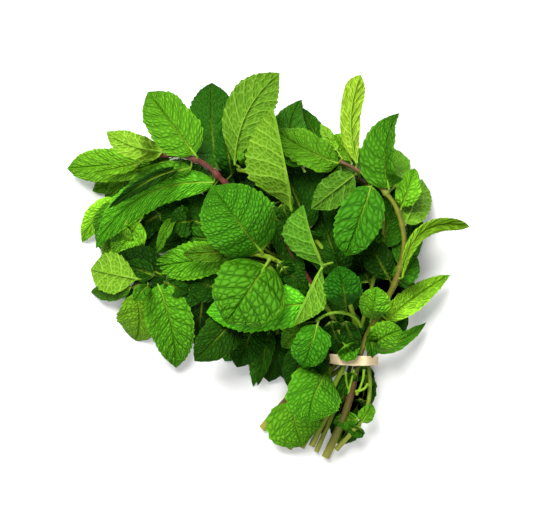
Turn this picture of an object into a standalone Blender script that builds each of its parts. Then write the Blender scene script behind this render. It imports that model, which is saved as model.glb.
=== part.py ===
"""Tied bunch of spearmint: ten cut stems, forty-nine leaves and one rubber band.

The bunch lies on its side.  +X is its long side, +Y points from the cut ends to the leaves
and +Z is up; the origin is under the middle of the bunch.  Lengths below are in millimetres.
"""
import math

import bmesh
import bpy
import numpy as np
from mathutils import Vector

NAME = "spearmint_bunch"
MM = 0.001
ORIGIN = (-1.10, -0.58, 0.0)   # middle of the bunch in the figures below

# ---- driving dimensions ------------------------------------------------------------------
BLADE = 0.7            # thickness of a leaf blade
STALK_HALF = 0.8       # half width of the short stalk a blade hangs on
STALK_LEAST = 2.0      # least length of that stalk
TIP_HALF = 0.9         # half width left at the very tip
STALK_RISE = 2.2       # climb of a stalk to a blade over its stem, or drop to one under it
STALK_GAP = 0.5        # air left between a stalk and its stem
CLEAR = 1.7            # least height between the middles of two blades
FLOOR = 0.5            # least height of a blade middle above the ground

BAND_CENTRE = (51.5, -58.0)
BAND_WIDE = 6.3        # width of the rubber strip
BAND_THICK = 1.0
BAND_RING = (16.2, 10.8)   # half width and half height of the loop
BAND_HEIGHT = 11.8     # height of the middle of the loop
BAND_LEAN = 5.0        # degrees the loop is turned from square

# Each stem: radius at the cut, radius at the tip, then its centre line (x, y, z).
STEMS = {
    "stem_1": (2.6, 1.1, [(36, -120, 4), (44, -102, 8), (51, -82, 14), (56, -58, 18), (62, -41, 24),
                          (71, -24, 31), (79, -6, 38), (83, 15, 43), (79, 34, 46), (72, 45, 46),
                          (60, 56, 44), (50, 62, 41), (44, 65, 39)]),
    "stem_2": (1.5, 0.9, [(30, -117, 3), (37, -101, 3), (46, -79, 3), (53, -58, 3.2), (59, -34, 14),
                          (66, -4, 26), (71, 24, 31), (69, 39, 33), (60, 52, 33), (48, 58, 31),
                          (38, 61, 29)]),
    "stem_3": (2.4, 1.3, [(-4, -102, 2.4), (7, -89, 7), (18, -76, 11), (29.5, -66, 13),
                          (38.4, -60, 12.6), (38.6, -52, 14), (38, -32, 22),
                          (20, -1, 30), (-2, 31, 33), (-18, 45, 35), (-27, 52, 38), (-39, 63, 41),
                          (-51, 68, 43), (-64, 69, 42), (-74, 67, 40)]),
    "stem_4": (1.9, 1.1, [(21, -114, 4), (30, -95, 9), (41, -74, 16), (47.5, -58, 18.8), (43, -38, 29),
                          (28, -15, 38), (11, 0, 44), (-3, 7, 48), (-16, 8, 48), (-24, 8, 47)]),
    "stem_5": (1.8, 1.1, [(13, -115, 2.4), (22, -98, 6), (32, -76, 8), (43, -58, 8.7), (39, -49, 10.5),
                          (29, -39, 14), (0, -28, 21), (-27, -16, 22), (-52, -9, 23), (-74, -7, 22),
                          (-84, -13, 19)]),
    "stem_6": (1.9, 1.1, [(27, -113, 4), (37, -93, 8), (50, -74, 9), (56.5, -58, 9.5), (52, -28, 22),
                          (39, 3, 29), (25, 21, 32), (13, 33, 34), (3, 49, 36), (-9, 57, 39),
                          (-19, 60, 41)]),
    "stem_7": (2.0, 1.0, [(2, -108, 2), (12, -93, 2.4), (29, -72, 3.5), (45, -58, 4.8), (30, -45, 5.5),
                          (9, -34, 9), (-7, -30, 9), (-19, -28, 8)]),
    "stem_8": (1.7, 0.9, [(7, -111, 2.2), (19, -95, 2.4), (35, -73, 3), (49, -58, 3.2), (38, -32, 10),
                          (11, 1, 15), (-20, 21, 18), (-54, 33, 20), (-82, 41, 19), (-96, 45, 16)]),
    "stem_9": (1.6, 1.0, [(42.5, -115, 9.5), (52, -104, 13), (60.5, -92, 14), (63.5, -76, 13),
                          (62.5, -58, 12.5), (66, -46, 14), (73, -38, 17), (80, -33, 18)]),
    "stem_10": (1.0, 0.8, [(57, -37, 27), (53.5, -31.5, 33.5), (46, -28, 37), (36, -29, 38),
                           (29, -33, 38)]),
}

# How a blade narrows: where it is widest (0 base, 1 tip), how blunt its tip is, and how full
# it is below the widest place.
SHAPES = {"round": (0.47, 3.1, 0.55), "ovate": (0.42, 2.5, 0.58), "lance": (0.38, 1.9, 0.6),
          "spoon": (0.60, 2.4, 1.3), "heart": (0.42, 2.8, 0.42), "willow": (0.5, 2.2, 1.5),
          "blunt": (0.64, 4.5, 0.8), "wedge": (0.5, 1.4, 1.8)}

# Each leaf, from the lowest in the pile to the highest: name, shape, stem it grows on, stalk
# end (x, y), tip (x, y, z), width, rise of the midrib, sideways sweep of the midrib, roll,
# fold along the midrib, droop of the margins, and +1 when its upper side faces up.
LEAVES = [
    ("leaf_7a", "ovate", 7, (-14, -33), (-28, -60, 0.6), 28, 3, 0, 0, 5, 20, 1),
    ("leaf_7b", "lance", 7, (-3, -35), (-10, -76, 0.6), 14, 4, 0, 0, 25, 0, 1),
    ("leaf_7c", "ovate", 7, (12, -39), (13, -73, 1), 23, 3, 0, 0, 10, 15, 1),
    ("leaf_5c", "ovate", 5, (-38, -10), (-46, -50, 1), 26, 5, 0, 0, 10, 15, 1),
    ("leaf_8a", "ovate", 8, (-54, 26), (-97, 19, 0.6), 29, 1, 0, 0, 10, 15, 1),
    ("leaf_8b", "ovate", 8, (-81, 28), (-99, 4, 8), 22, 3, 0, 0, 10, 15, 1),
    ("leaf_8c", "lance", 8, (-93, 46), (-118.5, 15, 1), 15, 4, -3, 0, 10, 20, 1),
    ("leaf_5g", "ovate", 5, (-86, -13), (-113, -16, 0.6), 14, 2, 0, 0, 5, 15, 1),
    ("leaf_5f", "round", 5, (-89, -15), (-84.5, -47, 0.6), 28, 4, 3, 0, 8, 15, 1),
    ("leaf_2a", "ovate", 2, (68, 3), (60, 24, 12), 19, 2, 0, 0, 10, 15, 1),
    ("leaf_1e", "ovate", 1, (84, -2), (94, 34, 8), 18, 3, 0, 0, 10, 15, 1),
    ("leaf_1f", "round", 1, (82, 24), (97, 55, 1), 22, 4, 0, 0, 5, 20, -1),
    ("leaf_1h", "round", 1, (78, 50), (77.5, 75.5, 3), 22, -2, 0, 0, 8, 15, 1),
    ("leaf_6a", "ovate", 6, (40, -10), (30, 42, 14), 28, 3, 0, 0, 15, 10, 1),
    ("leaf_6b", "ovate", 6, (26, 23), (5, 74, 1), 26, 3, 0, 0, 10, 15, 1),
    ("leaf_2b", "lance", 2, (20, 63), (21, 106, 3), 25, 4, 7.5, 0, 10, 15, 1),
    ("leaf_3c", "round", 3, (-31, 59), (-36, 117, 10), 31, -1, 2, 0, 8, 15, 1),
    ("leaf_3a", "ovate", 3, (-23, 57), (-28, 87, 26), 17, 4, 0, 0, 5, 15, 1),
    ("leaf_6d", "spoon", 6, (-21, 63), (6.5, 119, 38), 28, 5, 7, 0, -5, -10, -1),
    ("leaf_1m", "ovate", 1, (43, 64), (3, 86, 26), 22, 4, 2, 8, 12, 15, 1),
    ("leaf_1g", "ovate", 1, (82, 36), (90, 61, 37), 15, 3, 0, 0, 10, 20, 1),
    ("leaf_1c", "ovate", 1, (74, -10), (57, 24, 26), 18, 3, 0, 0, 10, 15, 1),
    ("leaf_9b", "lance", 9, (74, -33), (114, -5, 14), 16, 3, 2, 0, 14, 5, 1),
    ("leaf_9a", "lance", 9, (66, -54), (99, -35, 10), 10, 3, -2, 0, 20, 0, 1),
    ("leaf_3g", "round", 3, (-74, 65), (-127.5, 62, 8), 22, 2, 0, 0, 5, 20, 1),
    ("leaf_3b", "ovate", 3, (-34, 52), (-109, 11, 10), 22, 5, -14, 0, 8, 25, 1),
    ("leaf_3e", "lance", 3, (-48, 61), (-96, 36, 28), 15, 3, -5, -38, -38, 5, 1),
    ("leaf_5e", "spoon", 5, (-78, -10), (-112, -1.5, 10), 26, 4, 0, 0, -5, -10, -1),
    ("leaf_5d", "ovate", 5, (-68, -5), (-58.5, -64, 6), 29, 6, 3, 0, 8, 20, 1),
    ("leaf_3d", "round", 3, (-45, 65), (-75, 108.5, 36), 30, 4, 0, 0, 6, 20, 1),
    ("leaf_3f", "ovate", 3, (-64, 67.5), (-98, 82, 42), 16, 3, 3, 0, -5, -10, -1),
    ("leaf_1k", "ovate", 1, (53, 57), (26, 36, 38), 19, 2, 0, 0, -5, -10, -1),
    ("leaf_1d", "blunt", 1, (82, -7), (125, 25, 16), 9, 6, 15, 0, 20, 10, 1),
    ("leaf_1b", "round", 1, (70, -36), (66, -12, 42), 19, 3, 0, 0, 5, 15, 1),
    ("leaf_1a", "round", 1, (60, -49), (80.5, -38, 36), 18, 5, 2, 0, 8, 25, 1),
    ("leaf_1l", "blunt", 1, (53, 60), (56, 118, 46), 14, 4, 5, 10, -14, -10, -1),
    ("leaf_1i", "lance", 1, (73, 45), (79.5, 94.5, 46), 33, 3, 5, -44, 42, 18, 1),
    ("leaf_6f", "spoon", 6, (33, 1), (21, 38, 38), 30, 3, 2, 74, -80, 5, -1),
    ("leaf_4a", "round", 4, (30, -22), (-39, -28, 34), 30, 6, 0, 0, 5, 20, 1),
    ("leaf_4d", "round", 4, (-18, 4), (-73, 0, 30), 22, 0, 0, 0, 8, 20, 1),
    ("leaf_6c", "willow", 6, (11, 30), (2, 97, 46), 44, 4, 0, 76, -82, 5, -1),
    ("leaf_3i", "round", 3, (13, -81), (21.5, -113, 9), 36, 3, -2, 0, 5, 20, 1),
    ("leaf_3h", "round", 3, (36, -60), (25, -95.5, 20), 34, 5, -4, 0, 6, 20, 1),
    ("leaf_10a", "round", 10, (30, -33), (21, -62, 28), 23, 4, 0, 0, 6, 20, 1),
    ("leaf_6e", "wedge", 6, (33, 0), (15, -36, 46), 25, 2, 0, 76, -82, 5, -1),
    ("leaf_10c", "round", 10, (46, -31), (42, 1, 40), 22, 4, 0, 0, 6, 15, 1),
    ("leaf_1j", "round", 1, (62, 50), (46.5, 6.5, 52), 28, 5, 0, 0, 8, 20, 1),
    ("leaf_4b", "heart", 4, (-4, 9), (-35, 49, 54), 44, 5, 0, 0, 4, 22, 1),
    ("leaf_4c", "heart", 4, (-2, 1), (-26, -34, 50), 45, 5, 0, 0, 4, 24, 1),
]
# Place in the pile of each stem: leaves listed before it lie under the stem.
STEM_PLACE = {1: 32, 2: 13, 3: 29, 4: 38, 5: 0, 6: 18, 7: 0, 8: 5, 9: 12, 10: 33}

ROWS = (0.08, 0.23, 0.42, 0.60, 0.78, 0.92, 1.0)   # blade stations of the leaf mesh
ACROSS = (-1.0, -0.5, 0.0, 0.5, 1.0)               # margin, half way, midrib, half way, margin


# ---- shared shapes -----------------------------------------------------------------------
def smooth(edge, value):
    """Smooth 0 to 1 ramp that is complete at `edge`."""
    x = np.clip(value / edge, 0.0, 1.0)
    return x * x * (3.0 - 2.0 * x)


def blade_outline(shape, s):
    """Half width of a blade as a share of its greatest half width, s from 0 base to 1 tip."""
    widest, blunt, full = SHAPES[shape]
    s = np.clip(s, 0.0, 1.0)
    low = np.clip((widest - s) / widest, 0.0, 1.0)
    high = np.clip((s - widest) / (1.0 - widest), 0.0, 1.0)
    return np.where(s < widest, (1.0 - low ** 2.4) ** full, 1.0 - high ** blunt)


def stem_points(stem, steps):
    """Centre line of a stem through its listed points, `steps` pieces for each span."""
    _, _, raw = STEMS[stem]
    pts = np.array(raw, dtype=float)
    ext = np.vstack([2 * pts[0] - pts[1], pts, 2 * pts[-1] - pts[-2]])
    out = []
    for i in range(1, len(ext) - 2):
        p0, p1, p2, p3 = ext[i - 1:i + 3]
        for k in range(steps):
            t = k / steps
            out.append(0.5 * (2 * p1 + (p2 - p0) * t + (2 * p0 - 5 * p1 + 4 * p2 - p3) * t ** 2
                              + (3 * p1 - p0 - 3 * p2 + p3) * t ** 3))
    out.append(pts[-1])
    return np.array(out)


def stem_radii(stem, count):
    """Radius along a stem, falling from the cut end to the tip."""
    thick, thin, _ = STEMS[stem]
    t = np.linspace(0.0, 1.0, count)
    return thick + (thin - thick) * t ** 0.8


class Leaf:
    """One blade with its stalk, hung on a stem."""

    def __init__(self, row, place):
        (self.name, self.shape, number, base, tip, width, self.rise, self.sweep,
         roll, fold, droop, self.face) = row
        self.stem = "stem_%d" % number
        self.half = width / 2.0
        self.roll, self.fold, self.droop = (math.radians(a) for a in (roll, fold, droop))
        self.lift = 0.0
        self.tip_lift = 0.0
        line = stem_points(self.stem, 8)
        radii = stem_radii(self.stem, len(line))
        near = int(np.argmin(np.hypot(line[:, 0] - base[0], line[:, 1] - base[1])))
        a, b = line[max(near - 1, 0)], line[min(near + 1, len(line) - 1)]
        along = (b - a) / np.linalg.norm(b - a)
        tilt = 0.9 if place >= STEM_PLACE[number] else -0.5
        away = np.array([tip[0] - base[0], tip[1] - base[1], 0.0])
        away = away / np.linalg.norm(away) + np.array([0.0, 0.0, tilt])
        away -= along * away.dot(along)
        away /= np.linalg.norm(away)
        self.root = line[near] + away * (radii[near] + STALK_GAP + BLADE / 2 + 0.3)
        self.end = np.array([float(v) for v in tip])
        self.base = np.array([base[0], base[1], self.root[2] + math.copysign(STALK_RISE, tilt)])
        stalk = self.base - self.root
        if stalk[:2].dot(self.end[:2] - self.base[:2]) < 0.0 or np.hypot(*stalk[:2]) < STALK_LEAST:
            ahead = self.end - self.root
            self.base[:2] = self.root[:2] + ahead[:2] * STALK_LEAST / np.linalg.norm(ahead)

    def surface(self, t, v):
        """Point of the blade middle; t is -1 at the stem, 0 where the blade starts and 1 at
        the tip, v runs across from -1 to 1."""
        t, v = np.asarray(t, float), np.asarray(v, float)
        line = self.end - self.base
        up = np.array([0.0, 0.0, 1.0])
        flat = np.cross(up, line)
        flat /= np.linalg.norm(flat)
        b = np.clip(t, 0.0, 1.0)
        arch = 4.0 * b * (1.0 - b)
        mid = self.base + b[..., None] * line + np.clip(-t, 0.0, 1.0)[..., None] * (self.root - self.base)
        mid = mid + (self.sweep * arch)[..., None] * flat
        lift = self.rise * arch + self.lift * smooth(0.35, b) + self.tip_lift * b
        mid = mid + lift[..., None] * up
        ramp = np.clip(b / 0.35, 0.0, 1.0)
        slope = 4.0 * (1.0 - 2.0 * b)
        climb = self.rise * slope + self.lift * 6.0 * ramp * (1.0 - ramp) / 0.35 + self.tip_lift
        run = line + (self.sweep * slope)[..., None] * flat + climb[..., None] * up
        run /= np.linalg.norm(run, axis=-1, keepdims=True)
        side = np.cross(up, run)
        side /= np.linalg.norm(side, axis=-1, keepdims=True)
        out = np.cross(run, side)
        turn = self.roll * smooth(0.2, b)
        c, d = np.cos(turn)[..., None], np.sin(turn)[..., None]
        side, out = side * c + out * d, out * c - side * d
        half = np.maximum(self.half * blade_outline(self.shape, b), np.where(b > 0.5, TIP_HALF, STALK_HALF))
        fold = self.fold * smooth(0.2, b)
        bend = self.droop if abs(self.droop) > 1e-3 else 1e-3
        q = np.abs(v)
        wide = half * (np.sin(fold) - np.sin(fold - bend * q)) / bend
        high = half * (np.cos(fold - bend * q) - np.cos(fold)) / bend
        return mid + (np.sign(v) * wide)[..., None] * side + high[..., None] * out


# ---- laying the pile ---------------------------------------------------------------------
CELL = 2.0
S_GRID, V_GRID = np.meshgrid(np.linspace(-0.2, 1.0, 40), np.linspace(-1.0, 1.0, 23), indexing="ij")


class Patch:
    """Lowest and highest point, and the station, over each plan cell that something covers."""

    def __init__(self, points, thick, station):
        i = np.floor(points[:, 0] / CELL).astype(int)
        j = np.floor(points[:, 1] / CELL).astype(int)
        self.box = (i.min(), i.max() + 1, j.min(), j.max() + 1)
        size = (self.box[1] - self.box[0], self.box[3] - self.box[2])
        where = (i - self.box[0]) * size[1] + (j - self.box[2])
        self.low = np.full(size[0] * size[1], 1e3)
        self.high = np.full(size[0] * size[1], -1e3)
        self.place = np.zeros(size[0] * size[1])
        np.minimum.at(self.low, where, points[:, 2] - thick)
        np.maximum.at(self.high, where, points[:, 2] + thick)
        self.place[where] = station
        self.low, self.high, self.place = (a.reshape(size) for a in (self.low, self.high, self.place))

    def shared(self, other):
        """Window both patches reach into, as one slice pair for each, or None."""
        a, b = self.box, other.box
        i0, i1, j0, j1 = max(a[0], b[0]), min(a[1], b[1]), max(a[2], b[2]), min(a[3], b[3])
        if i0 >= i1 or j0 >= j1:
            return None
        return ((slice(i0 - a[0], i1 - a[0]), slice(j0 - a[2], j1 - a[2])),
                (slice(i0 - b[0], i1 - b[0]), slice(j0 - b[2], j1 - b[2])))


def leaf_patch(leaf):
    pts = leaf.surface(S_GRID, V_GRID).reshape(-1, 3)
    return Patch(pts, 0.0, S_GRID.ravel())


def stem_patch(stem):
    line = stem_points(stem, 14)
    radii = stem_radii(stem, len(line))
    around = [line + np.array([dx, dy, 0]) * radii[:, None] * 0.9
              for dx in (-1, 0, 1) for dy in (-1, 0, 1)]
    return Patch(np.vstack(around), np.tile(radii, 9), np.ones(9 * len(line)))


def clash(upper, lower, gap, own):
    """Worst shortfall of height between two patches beyond station `own`, or None."""
    both = upper.shared(lower)
    if both is None:
        return None
    a, b = both
    need = lower.high[b] - upper.low[a] + gap
    need = np.where((upper.low[a] < 900.0) & (lower.low[b] < 900.0), need, -1e3)
    need = np.where(np.minimum(upper.place[a], lower.place[b]) < own, -1e3, need)
    worst = int(np.argmax(need))
    if need.flat[worst] <= 0.02:
        return None
    return need.flat[worst], upper.place[a].flat[worst], lower.place[b].flat[worst]


def raise_leaf(leaf, amount, station):
    """Lift the blade by `amount` at one station, keeping the stalk on its stem."""
    amount = min(max(amount, -2.0), 4.0)
    station = max(station, 0.15)
    g = float(smooth(0.35, station))
    total = g * g + station * station
    leaf.lift = min(max(leaf.lift + amount * g / total, -20.0), 20.0)
    leaf.tip_lift = min(max(leaf.tip_lift + amount * station / total, -25.0), 25.0)


def settle_on_stems(leaf, index, patch, stems):
    """Keep a leaf over the stems below it and under the stems above it."""
    moved = False
    for name, stem in stems.items():
        above = index >= STEM_PLACE[int(name.split("_")[1])]
        own = 0.07 if name == leaf.stem else 0.0
        pair = (patch, stem) if above else (stem, patch)
        found = clash(pair[0], pair[1], CLEAR * 0.6, own)
        if found:
            amount, one, two = found
            raise_leaf(leaf, 0.7 * amount if above else -0.7 * amount, one if above else two)
            moved = True
    return moved


def lay_leaves(leaves):
    """Settle the pile: blades that touch are eased apart and none goes into the ground."""
    stems = {name: stem_patch(name) for name in STEMS}
    patches = [leaf_patch(leaf) for leaf in leaves]
    rounds = 70
    for turn in range(rounds):
        last = turn >= rounds - 10
        for i, leaf in enumerate(leaves):
            if settle_on_stems(leaf, i, patches[i], stems):
                patches[i] = leaf_patch(leaf)
            for k in range(i):
                kin = 0.05 if np.linalg.norm(leaf.root - leaves[k].root) < 5.0 else -0.2
                found = clash(patches[i], patches[k], CLEAR, kin)
                if not found:
                    continue
                amount, here, there = found
                raise_leaf(leaf, amount * (1.0 if last else 0.6), here)
                patches[i] = leaf_patch(leaf)
                if not last:
                    raise_leaf(leaves[k], -0.4 * amount, there)
                    patches[k] = leaf_patch(leaves[k])
            short = np.where(patches[i].low < 900.0, FLOOR - patches[i].low, -1.0)
            worst = int(np.argmax(short))
            if short.flat[worst] > 0.01:
                raise_leaf(leaf, short.flat[worst], patches[i].place.flat[worst])
                patches[i] = leaf_patch(leaf)


# ---- building ----------------------------------------------------------------------------
def metres(points):
    """Listed millimetres to metres about the origin."""
    return (np.asarray(points, float) - ORIGIN) * MM


def material(name, colour, roughness):
    mat = bpy.data.materials.new(name)
    mat.use_nodes = True
    shader = mat.node_tree.nodes["Principled BSDF"]
    shader.inputs["Base Color"].default_value = (*colour, 1.0)
    shader.inputs["Roughness"].default_value = roughness
    shader.inputs["Metallic"].default_value = 0.0
    return mat


def add_object(name, data, mat, collection):
    data.materials.append(mat)
    obj = bpy.data.objects.new(name, data)
    collection.objects.link(obj)
    return obj


def build_stem(name, mat, collection):
    """Square-section tapering stem, the four flat sides mint is known by."""
    line = stem_points(name, 2)
    radii = stem_radii(name, len(line))
    curve = bpy.data.curves.new(name, "CURVE")
    curve.dimensions = "3D"
    curve.bevel_depth = MM
    curve.bevel_resolution = 0
    curve.use_fill_caps = True
    spline = curve.splines.new("POLY")
    spline.points.add(len(line) - 1)
    for point, place, radius in zip(spline.points, line, radii):
        point.co = (*metres(place), 1.0)
        point.radius = radius
    return add_object(name, curve, mat, collection)


def build_leaf(leaf, mat, collection):
    """Blade and stalk as one grid, bent to shape and given its thickness."""
    blade = np.array(ROWS)
    stations = np.concatenate([[-1.0, -0.05], blade])
    s, v = np.meshgrid(stations, np.array(ACROSS), indexing="ij")
    pts = metres(leaf.surface(s, v).reshape(-1, 3))
    bm = bmesh.new()
    bmesh.ops.create_grid(bm, x_segments=len(ACROSS) - 1, y_segments=len(stations) - 1, size=1.0)
    order = sorted(bm.verts, key=lambda p: (round(p.co.y, 4), round(p.co.x, 4)))
    for vert, place in zip(order, pts):
        vert.co = Vector(place)
    bmesh.ops.recalc_face_normals(bm, faces=bm.faces)
    mesh = bpy.data.meshes.new(leaf.name)
    bm.to_mesh(mesh)
    bm.free()
    obj = add_object(leaf.name, mesh, mat, collection)
    solid = obj.modifiers.new("thickness", "SOLIDIFY")
    solid.thickness = BLADE * MM
    solid.offset = 0.0
    return obj


def build_band(mat, collection):
    """Flat rubber strip looped once round the stems."""
    bm = bmesh.new()
    count = 36
    lean = math.radians(BAND_LEAN)
    rings = []
    for k in range(count):
        a = 2.0 * math.pi * k / count
        ca, sa = math.cos(a), math.sin(a)
        x = BAND_RING[0] * math.copysign(abs(ca) ** 0.8, ca)
        z = BAND_RING[1] * math.copysign(abs(sa) ** 0.8, sa)
        across = BAND_WIDE / 2.0
        row = []
        for grow, shift in ((0.0, -across), (BAND_THICK, -across), (BAND_THICK, across), (0.0, across)):
            px = x + grow * ca
            pz = z + grow * sa
            qx = BAND_CENTRE[0] + px * math.cos(lean) + shift * math.sin(lean)
            qy = BAND_CENTRE[1] - px * math.sin(lean) + shift * math.cos(lean)
            row.append(bm.verts.new(metres((qx, qy, BAND_HEIGHT + pz))))
        rings.append(row)
    for k in range(count):
        one, two = rings[k], rings[(k + 1) % count]
        for i in range(4):
            j = (i + 1) % 4
            bm.faces.new((one[i], one[j], two[j], two[i]))
    bmesh.ops.recalc_face_normals(bm, faces=bm.faces)
    mesh = bpy.data.meshes.new("rubber_band")
    bm.to_mesh(mesh)
    bm.free()
    return add_object("rubber_band", mesh, mat, collection)


def main():
    for obj in list(bpy.data.objects):
        bpy.data.objects.remove(obj, do_unlink=True)
    collection = bpy.data.collections.new(NAME)
    bpy.context.scene.collection.children.link(collection)
    leaf_top = material("leaf_green", (0.09, 0.26, 0.03), 0.55)
    leaf_pale = material("leaf_pale", (0.25, 0.42, 0.09), 0.65)
    stem_green = material("stem_green", (0.22, 0.30, 0.07), 0.5)
    stem_red = material("stem_red", (0.17, 0.05, 0.05), 0.5)
    rubber = material("rubber_beige", (0.80, 0.62, 0.38), 0.6)
    leaves = [Leaf(row, place) for place, row in enumerate(LEAVES)]
    lay_leaves(leaves)
    for leaf in leaves:
        build_leaf(leaf, leaf_top if leaf.face > 0 else leaf_pale, collection)
    for name in STEMS:
        build_stem(name, stem_red if name in ("stem_1", "stem_3") else stem_green, collection)
    build_band(rubber, collection)


main()
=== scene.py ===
import math

import bpy
import numpy as np
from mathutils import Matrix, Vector


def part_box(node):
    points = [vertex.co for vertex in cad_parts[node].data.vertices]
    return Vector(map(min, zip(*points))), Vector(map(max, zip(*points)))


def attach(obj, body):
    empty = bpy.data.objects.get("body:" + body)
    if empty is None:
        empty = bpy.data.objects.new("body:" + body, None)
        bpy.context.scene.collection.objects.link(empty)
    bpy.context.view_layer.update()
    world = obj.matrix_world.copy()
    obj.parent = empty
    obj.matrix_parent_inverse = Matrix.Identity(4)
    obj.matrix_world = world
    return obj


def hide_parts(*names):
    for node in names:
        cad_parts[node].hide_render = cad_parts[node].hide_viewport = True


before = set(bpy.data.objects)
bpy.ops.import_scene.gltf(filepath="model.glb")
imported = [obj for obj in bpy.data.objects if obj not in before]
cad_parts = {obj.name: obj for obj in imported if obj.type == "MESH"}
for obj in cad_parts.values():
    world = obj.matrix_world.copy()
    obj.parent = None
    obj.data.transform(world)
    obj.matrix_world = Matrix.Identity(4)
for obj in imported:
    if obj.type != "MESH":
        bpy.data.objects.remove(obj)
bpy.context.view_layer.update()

MM = 0.001
MIDDLE = (-1.10, -0.58, 0.0)

# ==== the plant, as the part lays it out ==================================================
BLADE = 0.7            # thickness of a leaf blade in the part
STALK_HALF = 0.8       # half width of the short stalk a blade hangs on
STALK_LEAST = 2.0      # least length of that stalk
TIP_HALF = 0.9         # half width left at the very tip
STALK_RISE = 2.2       # climb of a stalk to a blade over its stem, or drop to one under it
STALK_GAP = 0.5        # air left between a stalk and its stem
STALK_UP = 0.9         # how steeply a stalk leaves its stem upwards
STALK_DOWN = -0.5      # and downwards
ROOT_REACH = 9.0       # a blade farther than this from its stem shows only a stub of its stalk
EASE = 0.35            # share of the blade over which a lift comes in from the stalk
TURN = 0.2             # share of the blade over which its roll and fold come in
CLEAR = 1.7            # least height between the middles of two blades
FLOOR = 0.5            # least height of a blade middle above the ground

BAND_CENTRE = (51.5, -58.0)
BAND_WIDE = 6.3        # width of the rubber strip
BAND_THICK = 1.0
BAND_RING = (16.2, 10.8)   # half width and half height of the loop
BAND_HEIGHT = 11.8     # height of the middle of the loop
BAND_LEAN = 5.0        # degrees the loop is turned from square

# Each stem: radius at the cut, radius at the tip, then its centre line (x, y, z).
STEMS = {
    "stem_1": (2.6, 1.1, [(36, -120, 4), (44, -102, 8), (51, -82, 14), (56, -58, 18), (62, -41, 24),
        (71, -24, 31), (79, -6, 38), (83, 15, 43), (79, 34, 46), (72, 45, 46), (60, 56, 44), (50, 62, 41),
        (44, 65, 39)]),
    "stem_2": (1.5, 0.9, [(30, -117, 3), (37, -101, 3), (46, -79, 3), (53, -58, 3.2), (59, -34, 14),
        (66, -4, 26), (71, 24, 31), (69, 39, 33), (60, 52, 33), (48, 58, 31), (38, 61, 29)]),
    "stem_3": (2.4, 1.3, [(-4, -102, 2.4), (7, -89, 7), (18, -76, 11), (29.5, -66, 13), (38.4, -60, 12.6),
        (38.6, -52, 14), (38, -32, 22), (20, -1, 30), (-2, 31, 33), (-18, 45, 35), (-27, 52, 38),
        (-39, 63, 41), (-51, 68, 43), (-64, 69, 42), (-74, 67, 40)]),
    "stem_4": (1.9, 1.1, [(21, -114, 4), (30, -95, 9), (41, -74, 16), (47.5, -58, 18.8), (43, -38, 29),
        (28, -15, 38), (11, 0, 44), (-3, 7, 48), (-16, 8, 48), (-24, 8, 47)]),
    "stem_5": (1.8, 1.1, [(13, -115, 2.4), (22, -98, 6), (32, -76, 8), (43, -58, 8.7), (39, -49, 10.5),
        (29, -39, 14), (0, -28, 21), (-27, -16, 22), (-52, -9, 23), (-74, -7, 22), (-84, -13, 19)]),
    "stem_6": (1.9, 1.1, [(27, -113, 4), (37, -93, 8), (50, -74, 9), (56.5, -58, 9.5), (52, -28, 22),
        (39, 3, 29), (25, 21, 32), (13, 33, 34), (3, 49, 36), (-9, 57, 39), (-19, 60, 41)]),
    "stem_7": (2.0, 1.0, [(2, -108, 2), (12, -93, 2.4), (29, -72, 3.5), (45, -58, 4.8), (30, -45, 5.5),
        (9, -34, 9), (-7, -30, 9), (-19, -28, 8)]),
    "stem_8": (1.7, 0.9, [(7, -111, 2.2), (19, -95, 2.4), (35, -73, 3), (49, -58, 3.2), (38, -32, 10),
        (11, 1, 15), (-20, 21, 18), (-54, 33, 20), (-82, 41, 19), (-96, 45, 16)]),
    "stem_9": (1.6, 1.0, [(42.5, -115, 9.5), (52, -104, 13), (60.5, -92, 14), (63.5, -76, 13),
        (62.5, -58, 12.5), (66, -46, 14), (73, -38, 17), (80, -33, 18)]),
    "stem_10": (1.0, 0.8, [(57, -37, 27), (53.5, -31.5, 33.5), (46, -28, 37), (36, -29, 38), (29, -33, 38)]),
}
# How a blade narrows: where it is widest (0 base, 1 tip), how blunt its tip is, and how full
# it is below the widest place.
SHAPES = {"round": (0.47, 3.1, 0.55), "ovate": (0.42, 2.5, 0.58), "lance": (0.38, 1.9, 0.6),
          "spoon": (0.60, 2.4, 1.3), "heart": (0.42, 2.8, 0.42), "willow": (0.5, 2.2, 1.5),
          "blunt": (0.64, 4.5, 0.8), "wedge": (0.5, 1.4, 1.8)}

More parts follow.
